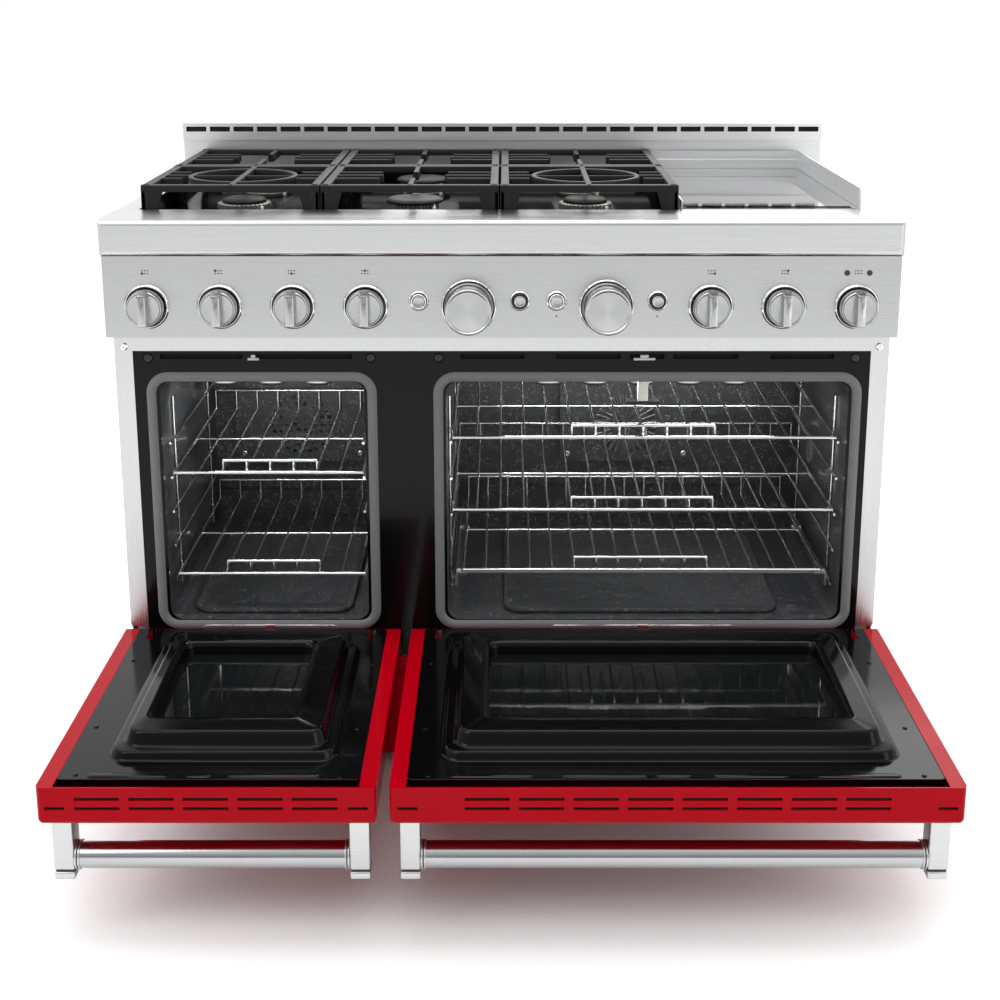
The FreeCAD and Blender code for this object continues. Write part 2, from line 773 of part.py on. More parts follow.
def grate_casting(column, front, has_ring):
    """One cast grate: a frame on four feet, side fingers, and centre bars or a wok ring."""
    left = f"grate_left + {column} * grate_pitch"
    right = f"{left} + grate_wide"
    back = f"{front} + grate_length"
    middle = f"{left} + grate_wide / 2"
    centre = f"{front} + grate_length / 2"
    low, high = "grate_low", "grate_high"
    bars = [box(left, right, front, f"{front} + grate_bar", low, high),
            box(left, right, f"{back} - grate_bar", back, low, high),
            box(left, f"{left} + grate_bar", front, back, low, high),
            box(f"{right} - grate_bar", right, front, back, low, high)]
    for foot_x in (left, f"{right} - grate_bar"):
        for foot_y in (front, f"{back} - grate_bar"):
            bars.append(box(foot_x, f"{foot_x} + grate_bar", foot_y, f"{foot_y} + grate_bar",
                            "pan_floor + gap", "grate_low + 1"))
    top = "grate_high - finger_deep"
    finger = "short_finger" if has_ring else "long_finger"
    for step in (-1, 0, 1):
        row = f"{centre} + {step} * finger_pitch"
        bars.append(box(left, f"{left} + grate_bar + {finger}", f"{row} - finger_wide / 2",
                        f"{row} + finger_wide / 2", top, high))
        bars.append(box(f"{right} - grate_bar - {finger}", right, f"{row} - finger_wide / 2",
                        f"{row} + finger_wide / 2", top, high))
    if has_ring:
        outer = rod("z", "ring_round", "ring_deep", middle, centre, "grate_high - ring_deep")
        bore = rod("z", "ring_round - ring_bar", "ring_deep + 2 * over", middle, centre,
                   "grate_high - ring_deep - over")
        bars.append(cut(outer, bore))
        bars.append(box(f"{middle} - centre_bar / 2", f"{middle} + centre_bar / 2", front, back,
                        "grate_high - ring_deep + 1", high))
        bars.append(box(f"{middle} - cross_half", f"{middle} + cross_half",
                        f"{centre} - cross_wide / 2", f"{centre} + cross_wide / 2",
                        "grate_high - ring_deep + 1", high))
    else:
        for start, end in ((front, f"{front} + half_bar"), (f"{back} - half_bar", back)):
            bars.append(box(f"{middle} - centre_bar / 2", f"{middle} + centre_bar / 2", start,
                            end, top, high))
    arch = box(f"{left} + grate_leg", f"{right} - grate_leg", f"{front} - over",
               f"{back} + over", "grate_low - over", "arch_high")
    side_arch = box(f"{left} - over", f"{right} + over", f"{front} + grate_leg",
                    f"{back} - grate_leg", "grate_low - over", "side_arch_high")
    return cut(fuse(*bars), arch, side_arch)


# --- ovens --------------------------------------------------------------------------------

def make_ovens():
    """Oven liners, door gaskets, fan covers and fans, lamps, broil tubes, pans and supports."""
    gaskets, covers, lamps, tubes, pans, ladders, motors = [], [], [], [], [], [], []
    for oven, counts in OVENS.items():
        middle, half = f"{oven}_x", f"{oven}_half"
        fan = f"{oven}_fan_x"
        shell = rounded_slab(middle, f"{half} + sheet", "oven_low - sheet", "oven_high + sheet",
                             "frame_front + frame_wall + gap", "oven_back + sheet",
                             "oven_round + sheet")
        room = rounded_slab(middle, half, "oven_low", "oven_high", "frame_front - over",
                            "oven_back", "oven_round")
        shaft_hole = rod("y", "stem_round + shaft_room", "2 * over", fan, "oven_back - over",
                         "fan_z")
        sub_part(f"{oven}_oven_liner", cut(shell, room, shaft_hole))

        band = rounded_slab(middle, f"{half} + gasket_side", "oven_low - gasket_end",
                            "oven_high + gasket_end", "gasket_front", "frame_front",
                            "gasket_round")
        opening = rounded_slab(middle, half, "oven_low", "oven_high", "gasket_front - over",
                               "frame_front + over", "oven_round")
        gaskets.append(cut(band, opening))
        covers.append(fan_cover(fan, oven))
        lamps += oven_lamps(oven)
        tubes.append(broil_tubes(middle, counts["low_rods"]))
        pans.append(floor_pan(middle, f"{oven}_pan_half"))
        ladders += [rack_ladder(oven, side) for side in (-1, 1)]
        motors.append(cut(rod("y", "motor_round", "motor_deep", fan, "oven_back + 2 * sheet",
                              "fan_z"),
                          rod("y", "stem_round + gap", "shaft_long", fan, "oven_back",
                              "fan_z")))
        sub_part(f"{oven}_oven_fan", oven_fan(fan))
    ceramic = box("large_x - ceramic_half", "large_x + ceramic_half", "ceramic_front",
                  "ceramic_front + ceramic_deep", "ceramic_low", "oven_high")
    clamp = box("large_x - clamp_half", "large_x + clamp_half", "ceramic_front - sheet",
                "ceramic_front + ceramic_deep + sheet", "clamp_low", "clamp_high")
    tubes.append(fuse(ceramic, clamp))
    sub_part("oven_gaskets", together(*gaskets))
    sub_part("fan_covers", together(*covers))
    sub_part("oven_lamps", together(*lamps))
    sub_part("broil_elements", together(*tubes))
    sub_part("oven_floor_pans", together(*pans))
    sub_part("rack_ladders", together(*ladders))
    sub_part("fan_motors", together(*motors))


# Radial slots of the large oven's fan cover, and the blades of both fans, in millimetres.
COVER_SLOTS = 28
SLOT_START = 14
SLOT_STEP = 18
SLOT_END = 56
SLOT_REACH = 18
SLOT_HIGH = 3
BLADES = 12
BLADE_LONG = 34
BLADE_DEEP = 12.5
BLADE_THICK = 1.5


def fan_cover(fan, oven):
    """Folded baffle in front of a fan, with round holes or radial slots over the blades."""
    outer = box(f"{fan} - cover_half", f"{fan} + cover_half", "cover_front", "oven_back",
                "cover_low", "cover_high")
    room = box(f"{fan} - cover_half + sheet", f"{fan} + cover_half - sheet",
               "cover_front + sheet", "oven_back + over", "cover_low + sheet", "cover_high - sheet")
    holes = []
    if oven == "small":
        for radius, count in ((12, 6), (26, 12), (40, 18), (53, 24)):
            for place in range(count):
                angle = 2 * math.pi * place / count
                holes.append(rod("y", "hole_round", "2 * over",
                                 f"{fan} + {radius * math.cos(angle):.3f}",
                                 "cover_front - over",
                                 f"fan_z + {radius * math.sin(angle):.3f}"))
    else:
        for place in range(COVER_SLOTS):
            # Every second slot is shorter, so that the slots keep apart near the middle.
            start = SLOT_START + SLOT_STEP * (place % 2)
            slot = doc.addObject("Part::Box", "slot")
            slot.Length = SLOT_END - start
            slot.Width = SLOT_REACH
            slot.Height = SLOT_HIGH
            turn = Rotation(Vector(0, -1, 0), 360 / COVER_SLOTS * place)
            offset = turn.multVec(Vector(start, -SLOT_REACH / 2, -SLOT_HIGH / 2))
            stand(slot, f"{fan} + ({offset.x:.3f})", f"cover_front + ({offset.y:.3f})",
                  f"fan_z + ({offset.z:.3f})", turn)
            holes.append(slot)
    return cut(outer, room, together(*holes))


def oven_fan(fan):
    """Fan wheel: a back plate with upright blades on a shaft that runs into the motor."""
    plate = rod("y", "fan_round", "fan_plate", fan, "fan_front + fan_deep - 1", "fan_z")
    hub = rod("y", "hub_round", "fan_deep", fan, "fan_front", "fan_z")
    shaft = rod("y", "stem_round", "shaft_long", fan, "fan_front + fan_deep / 2", "fan_z")
    blades = []
    for place in range(BLADES):
        blade = doc.addObject("Part::Box", "blade")
        blade.Length = BLADE_LONG
        blade.Width = BLADE_DEEP
        blade.Height = BLADE_THICK
        turn = Rotation(Vector(0, -1, 0), 360 / BLADES * place)
        offset = turn.multVec(Vector(DIMENSIONS["blade_inner"], 0, -BLADE_THICK / 2))
        stand(blade, f"{fan} + ({offset.x:.3f})", "fan_front", f"fan_z + ({offset.z:.3f})", turn)
        blades.append(blade)
    return fuse(plate, hub, shaft, *blades)


def oven_lamps(oven):
    """Low round lamp lenses set in the side walls of the ovens."""
    if oven == "small":
        places = [(f"{oven}_x - {oven}_half", 279, 600)]
    else:
        places = [(f"{oven}_x - {oven}_half", 300, 600),
                  (f"{oven}_x + {oven}_half - lamp_thick", 313, 456)]
    return [rod("x", "lamp_round", "lamp_thick", across, back, high)
            for across, back, high in places]


def broil_tubes(middle, loops):
    """Broil element: long hairpin tubes joined by one cross tube under the oven's roof."""
    pieces = []
    for loop in range(loops):
        centre = f"{middle} + {loop - (loops - 1) / 2} * loop_pitch"
        for side in (-1, 1):
            pieces.append(rod("y", "tube_round", "tube_long", f"{centre} + {side} * loop_round",
                              "tube_front", "tube_z"))
        bend = doc.addObject("Part::Torus", "bend")
        bind(bend, Radius1="loop_round", Radius2="tube_round")
        bend.Angle3 = 180
        stand(bend, centre, "tube_front", "tube_z", Rotation(Vector(0, 0, 1), 180))
        pieces.append(bend)
    rear = "tube_front + tube_long"
    pieces.append(rod("x", "cross_tube_round", f"{loops} * loop_pitch",
                      f"{middle} - {loops} * loop_pitch / 2", rear, "tube_z"))
    pieces.append(rod("y", "tube_round", "tube_lead", middle, rear, "tube_z"))
    return fuse(*pieces)


def floor_pan(middle, half):
    """Loose pan over the oven floor, on four short legs, with a tongue at the front."""
    deep = "pan_far - pan_near"
    outline = [(f"-{half}", 0), (half, 0), (half, deep), (f"-{half}", deep)]
    plate = padded(outline, "pan_thick", middle, "pan_near", "pan_low", Rotation(),
                   "pan_corner")
    tongue = box(f"{middle} - {half} * tongue_share", f"{middle} + {half} * tongue_share",
                 "tongue_front", "pan_near + pan_corner", "pan_low", "pan_low + pan_thick")
    legs = []
    for side in (-1, 1):
        leg = f"{middle} + {side} * ({half} - pan_leg_edge)"
        for back in ("pan_leg_front", "pan_leg_rear"):
            legs.append(box(f"{leg} - pan_leg / 2", f"{leg} + pan_leg / 2", back,
                            f"{back} + pan_leg", "oven_low + gap", "pan_low + pan_thick / 2"))
    return fuse(plate, tongue, *legs)


LADDER_RAILS = 5


def rack_ladder(oven, side):
    """Wire ladder on an oven's side wall: two uprights and five rails that racks lie on."""
    wall = f"{oven}_x + {side} * {oven}_half"
    pieces = []
    for back in ("ladder_front", "ladder_rear"):
        pieces.append(rod("z", "wire_round", "ladder_long", f"{wall} - {side} * upright_edge",
                          back, "ladder_low"))
    for level in range(LADDER_RAILS):
        height = f"{oven}_rack_low + {level} * {oven}_rack_step - rail_drop"
        pieces.append(rod("y", "wire_round", "side_rail_long",
                          f"{wall} - {side} * ladder_edge", "side_rail_front", height))
    return fuse(*pieces)


# --- racks --------------------------------------------------------------------------------

def make_racks():
    """Wire racks, and the roller frame that the lowest one runs on."""
    for oven, name, level in (("small", "lower", 0), ("small", "upper", 3),
                              ("large", "middle", 2), ("large", "upper", 4)):
        height = f"{oven}_rack_low + {level} * {oven}_rack_step"
        sub_part(f"{oven}_rack_{name}",
                 wire_rack(f"{oven}_x", f"{oven}_half - rack_edge", height, OVENS[oven]))
    sub_part("rollout_rack", wire_rack("large_x", "rollout_half", "rollout_high",
                                       OVENS["large"]))
    sub_part("rollout_frame", rollout_frame())


def wire_rack(middle, half, height, counts):
    """Welded wire rack: rods run front to back and turn up at the rear, with a raised grip."""
    count, raised = counts["rods"], counts["low_rods"]
    pitch = f"2 * ({half}) / {count + 1}"
    wires = [rod("x", "rod_round", f"2 * ({half})", f"{middle} - ({half})", "rack_front", height),
             rod("x", "wire_round", f"2 * ({half})", f"{middle} - ({half})", "rack_middle", height),
             rod("x", "wire_round", f"2 * ({half})", f"{middle} - ({half})", "rack_back",
                 f"{height} + rack_lip")]
    for side in (-1, 1):
        edge = f"{middle} + {side} * ({half})"
        wires.append(rod("y", "rod_round", "rack_back - rack_front", edge, "rack_front", height))
        wires.append(rod("z", "wire_round", "rack_lip", edge, "rack_back", height))
        wires.append(ball("rod_round", edge, "rack_front", height))
        wires.append(ball("rod_round", edge, "rack_back", height))
        wires.append(ball("wire_round", edge, "rack_back", f"{height} + rack_lip"))
    grip_edge = (raised + 1) // 2
    for place in range(1, count + 1):
        across = f"{middle} - ({half}) + {place} * {pitch}"
        from_centre = abs(place - (count + 1) // 2)
        if from_centre < grip_edge:
            wires.append(rod("y", "wire_round", "rack_back - rack_front - grip_back", across,
                             "rack_front + grip_back", height))
            wires.append(rod("z", "wire_round", "grip_rise", across, "rack_front + grip_back",
                             height))
        else:
            wires.append(rod("y", "wire_round", "rack_back - rack_front", across, "rack_front",
                             height))
        wires.append(rod("z", "wire_round", "rack_lip", across, "rack_back", height))
        wires.append(ball("wire_round", across, "rack_back", height))
    reach = f"{grip_edge} * {pitch}"
    wires.append(rod("x", "wire_round + gap", f"2 * {reach}", f"{middle} - {reach}",
                     "rack_front + grip_back", f"{height} + grip_rise"))
    for side in (-1, 1):
        wires.append(rod("z", "wire_round - post_slim", "grip_rise",
                         f"{middle} + {side} * {reach}", "rack_front + grip_back", height))
    return fuse(*wires)


def rollout_frame():
    """Roller frame hung on the lowest ladder rails: side bars, two cross rods, four rollers."""
    low = "large_rack_low - rail_drop"
    pieces = []
    for side in (-1, 1):
        bar = f"large_x + {side} * (large_half - frame_edge)"
        pieces.append(box(f"{bar} - sheet", f"{bar} + sheet", 80, 440, f"{low} - 6",
                          f"{low} + 12"))
        hook_low = f"{bar} - hook_long" if side < 0 else bar
        hook_high = f"{hook_low} + hook_long"
        for back in (90, 420):
            pieces.append(box(hook_low, hook_high, back, f"{back} + hook_wide",
                              f"{low} + wire_round + gap", f"{low} + 5"))
        for back in (92, 300):
            start = bar if side < 0 else f"large_x + rollout_half - 5"
            pieces.append(rod("x", "roller_round", "large_half - frame_edge - rollout_half + 5",
                              start, back, "rollout_high - rod_round - roller_round - gap"))
    for back in (110, 410):
        pieces.append(rod("x", "rod_round", "2 * (large_half - frame_edge)",
                          "large_x - large_half + frame_edge", back, f"{low} + 6"))
    return fuse(*pieces)


# --- doors --------------------------------------------------------------------------------

def make_doors():
    """Both oven doors with their handles, and the hinge arms that they turn on."""
    arms = []
    for oven in OVENS:
        middle, half = f"{oven}_door_x", f"{oven}_door_half"
        sub_part(f"{oven}_door_skin", door_skin(oven, middle, half))
        sub_part(f"{oven}_door_liner", door_liner(oven, middle, half))
        sub_part(f"{oven}_door_glass", door_glass(oven, middle))
        sub_part(f"{oven}_door_handle", door_handle(middle, half))
        for side in (-1, 1):
            arms.append(hinge_arm(f"{middle} + {side} * ({half} - arm_edge)"))
    sub_part("hinge_arms", together(*arms))


def window(oven, low, high, extra=0):
    """A box through a door where its window is."""
    middle, half = f"{oven}_door_x", f"{oven}_window_half"
    return box(f"{middle} - {half} - {extra}", f"{middle} + {half} + {extra}",
               f"window_front - {extra}", f"window_rear + {extra}", low, high)


def arm_rooms(middle, half, clear):
    """Slots in a door that the hinge arms swing in, from the door's edge to past the pivot."""
    rooms = []
    for side in (-1, 1):
        arm = f"{middle} + {side} * ({half} - arm_edge)"
        rooms.append(box(f"{arm} - ({clear})", f"{arm} + ({clear})", "pivot_back - 2 * over - 1",
                         "door_back + over", "pivot_high - arm_half - 2.5", "door_high + over"))
    return rooms


def door_skin(oven, middle, half):
    """Folded outer skin of a door with its rim, vent slots, and a hinge block at each arm."""
    doc.recompute()
    solid = box(f"{middle} - {half}", f"{middle} + {half}", "door_front", "door_back",
                "door_low", "door_high")
    doc.recompute()
    rounded = doc.addObject("Part::Fillet", "rounded")
    rounded.Base = solid
    radius = DIMENSIONS["door_round"]
    rear_edge = DIMENSIONS["front_y"] + DIMENSIONS["door_back"]
    rounded.Edges = [(place, radius, radius) for place, edge in enumerate(solid.Shape.Edges, 1)
                     if edge.BoundBox.ZLength > 1
                     or edge.BoundBox.ZMax < DIMENSIONS["door_low"] + 1
                     or edge.BoundBox.YMin > rear_edge - 1]
    room = box(f"{middle} - {half} + door_wall", f"{middle} + {half} - door_wall",
               "door_front + door_wall", "door_back - door_rear_rim", "door_low + door_wall",
               "door_high - door_wall")
    mouth = box(f"{middle} - {half} + door_rim", f"{middle} + {half} - door_rim",
                "door_front + door_wall", "door_back - door_rear_rim", "door_high - 2 * over",
                "door_high + over")
    holes = [window(oven, "door_low - over", "door_low + 2 * over")]
    columns = OVENS[oven]["slots"]
    for column in range(columns):
        centre = f"{middle} + {column - (columns - 1) / 2} * door_slot_pitch"
        for height in ("lower_slot_z", "upper_slot_z"):
            holes.append(box(f"{centre} - door_slot_wide / 2", f"{centre} + door_slot_wide / 2",
                             "door_front - over", "door_front + over", height,
                             f"{height} + door_slot_high"))
    for side in (-1, 1):
        centre = f"{middle} + {side} * ({half} - end_slot_edge)"
        holes.append(box(f"{centre} - end_slot_half", f"{centre} + end_slot_half",
                         "door_front - over", "door_front + over", "lower_slot_z",
                         "lower_slot_z + door_slot_high"))
    shell = cut(rounded, room, mouth, *holes)
    blocks = []
    for side in (-1, 1):
        arm = f"{middle} + {side} * ({half} - arm_edge)"
        blocks.append(box(f"{arm} - block_half", f"{arm} + block_half",
                          "pivot_back - block_front", "door_back - door_wall + 0.5",
                          "door_low + door_wall - 0.5", "door_high - 6"))
    pins = [rod("x", "pin_round + 0.3", "pin_long + 2",
                f"{middle} + {side} * ({half} - arm_edge) - pin_long / 2 - 1",
                "pivot_back", "pivot_high") for side in (-1, 1)]
    return cut(fuse(shell, *blocks), *arm_rooms(middle, half, "arm_room - 1"), *pins)


def door_liner(oven, middle, half):
    """Pressed inner liner: a flat edge, a plug in two steps, and a sunk window frame."""
    step_half = f"{oven}_half - plug_gap"
    top_half = f"{oven}_half - plug_gap - plug_inset"
    plate = box(f"{middle} - {half} + door_rim + gap", f"{middle} + {half} - door_rim - gap",
                "door_front + door_rim", "door_back - door_rear_rim - gap",
                "door_high - liner_wall", "door_high")
    step = frustum(f"{oven}_x", step_half, "plug_front", "plug_rear", "door_high - 1",
                   "door_high + plug_step", "liner_step_slope", 14)
    plug = frustum(f"{oven}_x", top_half, "plug_front + plug_second",
                   "plug_rear - plug_second_rear",
                   "door_high + plug_step - 1", "door_high + plug_top", "plug_slope", 12)
    step_room = frustum(f"{oven}_x", f"{step_half} - liner_wall", "plug_front + liner_wall",
                        "plug_rear - liner_wall", "door_high - 5",
                        "door_high + plug_step - liner_wall", "liner_step_slope", 12)
    plug_room = frustum(f"{oven}_x", f"{top_half} - liner_wall",
                        "plug_front + plug_second + liner_wall",
                        "plug_rear - plug_second_rear - liner_wall", "door_high + plug_step - 5",
                        "door_high + plug_top - liner_wall", "plug_slope", 10)
    pressed = cut(fuse(plate, step, plug), step_room, plug_room)
    collar = window(oven, "door_high + window_sink", "door_high + plug_top", "liner_wall")
    return cut(fuse(pressed, collar),
               window(oven, "door_high - over", "door_high + plug_top + over"),
               *arm_rooms(middle, half, "arm_room"))


def door_glass(oven, middle):
    """The door's two panes: one under the liner's window frame, one inside the outer skin."""
    inner = window(oven, "door_high + window_sink - glass_thick", "door_high + window_sink",
                   "pane_edge")
    outer = window(oven, "door_low + door_wall", "door_low + door_wall + glass_thick",
                   "outer_pane_edge")
    return together(inner, outer)


def door_handle(middle, half):
    """Tube handle between two square standoffs."""
    pieces = []
    span = f"2 * ({half} - grip_edge)"
    start = f"{middle} - {half} + grip_edge"
    pieces.append(rod("x", "handle_round", span, start, "handle_y", "handle_z"))
    for side in (-1, 1):
        post = f"{middle} + {side} * ({half} - grip_edge)"
        pieces.append(box(f"{post} - grip_wide / 2", f"{post} + grip_wide / 2",
                          "handle_y - grip_deep / 2", "handle_y + grip_deep / 2",
                          "door_low - grip_long", "door_low"))
        inner = f"{post} - {side} * grip_wide / 2"
        base = f"{inner} - collar_long" if side > 0 else inner
        pieces.append(rod("x", "handle_round + collar_rise", "collar_long", base, "handle_y",
                          "handle_z"))
    return fuse(*pieces)


def hinge_arm(across):
    """Steel hinge arm fixed in the frame, with the pin that the door turns on at its end."""
    low = f"{across} - arm_thick / 2"
    bar = box(low, f"{low} + arm_thick", "pivot_back", "sill_front + heel_deep",
              "pivot_high - arm_half", "pivot_high + arm_half")
    eye = rod("x", "arm_half", "arm_thick", low, "pivot_back", "pivot_high")
    pin = rod("x", "pin_round", "pin_long", f"{across} - pin_long / 2", "pivot_back",
              "pivot_high")
    heel = box(f"{across} - heel_half", f"{across} + heel_half", "sill_front + frame_wall + gap",
               "sill_front + heel_deep", "pivot_high - heel_low", "pivot_high + heel_high")
    return fuse(bar, eye, pin, heel)


# --- controls and gas ---------------------------------------------------------------------

def make_controls():
    """Burner knobs, oven dials and push buttons, each on its own stem or in its own hole."""
    for name, across in zip(KNOB_NAMES, KNOB_PLACES):
        # Lathe profile as (distance out from the panel, radius).
        outline = [(1, 0), (1, "knob_round"), (7, "knob_round"), (16, "knob_round - 4"),
                   (24, "knob_round - 4"), (26, "knob_round - 6"), (26, 0)]
        body = turned(outline, across, "panel_front", "knob_z", AXIS_TO_FRONT)
        grip = box(f"{across} - grip_half", f"{across} + grip_half", "panel_front - grip_out",
                   "panel_front - grip_in", "knob_z - knob_round + grip_end",
                   "knob_z + knob_round - grip_end")
        bore = rod("y", "stem_round + gap", "grip_out", across, "panel_front - bore_deep",
                   "knob_z")
        sub_part(name, cut(fuse(body, grip), bore))
    for oven in OVENS:
        across = f"{oven}_dial_x"
        outline = [(-16, 0), (-16, "stem_round"), (1, "stem_round"), (1, "dial_round"),
                   ("dial_deep - 3", "dial_round"), ("dial_deep", "dial_round - 3"),
                   ("dial_deep", 0)]
        sub_part(f"{oven}_oven_dial", turned(outline, across, "panel_front", "knob_z",
                                             AXIS_TO_FRONT))
        for kind, offset in (("light", "light_offset"), ("start", "start_offset")):
            outline = [(-12, 0), (-12, "button_round - 2"), (-6, "button_round"),
                       (8, "button_round"), (10, "button_round - 2"), (10, 0)]
            sub_part(f"{oven}_oven_{kind}_button",
                     turned(outline, f"{across} + {offset}", "panel_front", "button_z",
                            AXIS_TO_FRONT))


def make_gas_pipe():
    """Gas rail behind the panel with a valve and stem at each knob, and the inlet pipe."""
    pipes = [rod("x", "manifold_round", "2 * inlet_x", "-inlet_x", "manifold_back", "knob_z")]
    for across in KNOB_PLACES:
        pipes.append(box(f"{across} - valve_half", f"{across} + valve_half", "valve_front",
                         "manifold_back", "knob_z - valve_high", "knob_z + valve_high"))
        pipes.append(rod("y", "stem_round", "valve_front + valve_stem - panel_front + 2",
                         across, "panel_front - valve_stem", "knob_z"))
    pipes.append(rod("y", "manifold_round", "inlet_y - manifold_back", "inlet_x",
                     "manifold_back", "knob_z"))
    pipes.append(rod("z", "manifold_round", "knob_z - inlet_z", "inlet_x", "inlet_y", "inlet_z"))
    for back, high in (("manifold_back", "knob_z"), ("inlet_y", "knob_z"), ("inlet_y", "inlet_z")):
        pipes.append(ball("manifold_round + 2", "inlet_x", back, high))
    pipes.append(rod("y", "manifold_round + socket_wall", "socket_long", "inlet_x", "inlet_y",
                     "inlet_z"))
    pipes.append(rod("y", "manifold_round", "inlet_long", "inlet_x", "inlet_y", "inlet_z"))
    sub_part("gas_manifold", fuse(*pipes))


def make_screws():
    """Round-headed screws of the trim and of the fan covers."""
    screws = []
    head = [(0, 0), (0, 6), (1.2, 6), (2.4, 4), (2.4, 0)]
    for side in (-1, 1):
        screws.append(turned(head, f"{side} * (trim_half - cover_screw)", "trim_front",
                             "trim_low + 7", AXIS_TO_FRONT))
        for oven in OVENS:
            screws.append(turned(head, f"{oven}_fan_x + {side} * (cover_half - cover_screw)",
                                 "cover_front", "cover_low + cover_screw + 1", AXIS_TO_FRONT))
    sub_part("fixing_screws", together(*screws))


def check_and_write():
    """Stop on any failed object, then write each sub-part to its own file."""
    doc.recompute()
    for obj in doc.Objects:
        if "Invalid" in obj.State or "Error" in obj.State:
            raise RuntimeError(f"{obj.Name} ({obj.Label}) failed: {obj.State}")
    for obj in SUB_PARTS:
        if obj.Shape.isNull() or not obj.Shape.isValid() or not obj.Shape.Solids:
            raise RuntimeError(f"{obj.Label} has no sound shape")
    os.makedirs("parts", exist_ok=True)
    for obj in SUB_PARTS:
        obj.Shape.exportStep(f"parts/{obj.Label}.step")
        size = obj.Shape.BoundBox
        print(f"{obj.Label:28s} solids {len(obj.Shape.Solids):3d}  "
              f"x {size.XMin:8.1f} {size.XMax:8.1f}  y {size.YMin:8.1f} {size.YMax:8.1f}  "
              f"z {size.ZMin:7.1f} {size.ZMax:7.1f}")


make_casing()
make_base()
make_front_frame()
make_controls_and_ledge()
make_backguard()
make_cooktop()
make_ovens()
make_racks()
make_doors()
make_controls()
make_gas_pipe()
make_screws()
check_and_write()
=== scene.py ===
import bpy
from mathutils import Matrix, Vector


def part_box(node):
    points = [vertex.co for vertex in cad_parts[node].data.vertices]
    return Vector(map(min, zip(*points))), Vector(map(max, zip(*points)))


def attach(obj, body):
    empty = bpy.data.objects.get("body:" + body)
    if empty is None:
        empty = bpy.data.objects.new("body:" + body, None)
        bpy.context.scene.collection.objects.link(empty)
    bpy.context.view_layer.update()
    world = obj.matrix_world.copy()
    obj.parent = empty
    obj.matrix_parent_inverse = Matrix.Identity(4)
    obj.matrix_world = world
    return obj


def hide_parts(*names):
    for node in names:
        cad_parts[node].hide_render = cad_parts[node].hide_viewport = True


bl_info = {
    "name": "Gas Range",
    "version": (1, 0, 0),
    "blender": (4, 5, 0),
    "location": "3D View > Sidebar > Gas Range",
    "description": "Finishes and detail pieces of a freestanding gas range, built around its frame",
    "category": "Object", }

import math

import bmesh
import bpy
import numpy as np

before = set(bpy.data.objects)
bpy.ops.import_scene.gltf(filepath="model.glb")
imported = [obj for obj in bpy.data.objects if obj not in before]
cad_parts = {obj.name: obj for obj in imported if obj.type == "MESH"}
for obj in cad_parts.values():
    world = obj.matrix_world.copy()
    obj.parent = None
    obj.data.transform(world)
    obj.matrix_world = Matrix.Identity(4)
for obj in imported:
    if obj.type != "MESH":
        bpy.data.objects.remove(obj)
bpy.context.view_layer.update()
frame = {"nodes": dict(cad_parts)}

# Lengths are in millimetres until a piece is made, or a material or the stage needs metres.
MM = 0.001
FULL_TURN = 2 * math.pi
OVENS = ("small", "large")
SIDES = (-1, 1)
KNOBS = [f"burner_knob_{number}" for number in range(1, 7)] + ["griddle_knob"]
GRATES = ("grate_left_pair", "grate_centre_pair", "grate_right_pair")


def ends(node):
    """Lowest and highest corner of a node's box, as arrays in millimetres."""
    low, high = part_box(node)
    return np.array(low) / MM, np.array(high) / MM


def middle(node):
    """Centre of a node's box, in millimetres."""
    low, high = ends(node)
    return (low + high) / 2


def linear(code):
    """A colour written as an sRGB hex code, turned to linear light."""
    parts = [int(code[place:place + 2], 16) / 255 for place in (1, 3, 5)]
    return [part / 12.92 if part <= 0.04045 else ((part + 0.055) / 1.055) ** 2.4 for part in parts]


# --- sizes and colours that a user would change --------------------------------------------

def length(name, description, value):
    """A length property, in millimetres."""
    return bpy.props.FloatProperty(name=name, description=description, default=value)


def colour(name, description, code):
    """A colour property with its default written as a hex code."""
    return bpy.props.FloatVectorProperty(name=name, description=description, subtype="COLOR",
                                         size=3, min=0, max=1, default=linear(code))


class RangeSizes(bpy.types.PropertyGroup):
    """Sizes of the pieces that are made here."""
    grip_width: length("Knob grip width", "Width of the bar across a burner knob", 17)
    grip_depth: length("Knob grip depth", "How far the bar stands out from the knob", 17)
    grate_bar: length("Grate bar", "Width of the bars round a grate casting", 15)
    grate_finger: length("Grate finger", "Width of a grate's fingers at the top", 8)
    liner_corner: length("Liner corner", "Corner radius of the pressed door liners", 24)
    braid: length("Braid", "Distance between the strands of the oven gaskets", 3.2)
    edge: length("Edge", "Radius that small machined edges are eased by", 1.2)


class RangeColours(bpy.types.PropertyGroup):
    """Colours of the finishes."""
    enamel: colour("Door enamel", "Gloss enamel of the doors and kick plate", "#98000F")
    frame: colour("Frame enamel", "Gloss enamel of the frame and door liners", "#050506")
    cavity: colour("Oven enamel", "Ground coat inside the ovens", "#303234")
    speck: colour("Oven specks", "Specks in the oven enamel", "#D4D6D8")
    steel: colour("Stainless steel", "Brushed sheet", "#BFC0C1")
    panel: colour("Panel steel", "Darker brushed sheet of the control panel", "#ADAEAF")
    chrome: colour("Chrome", "Bright plated wire", "#E2E3E4")
    iron: colour("Grate enamel", "Matt enamel of the cast grates", "#0A0A0B")
    alloy: colour("Burner alloy", "Cast burner bodies", "#B9B6AE")
    braid: colour("Gasket", "Woven gasket round the ovens", "#77787A")


# --- surfaces ------------------------------------------------------------------------------

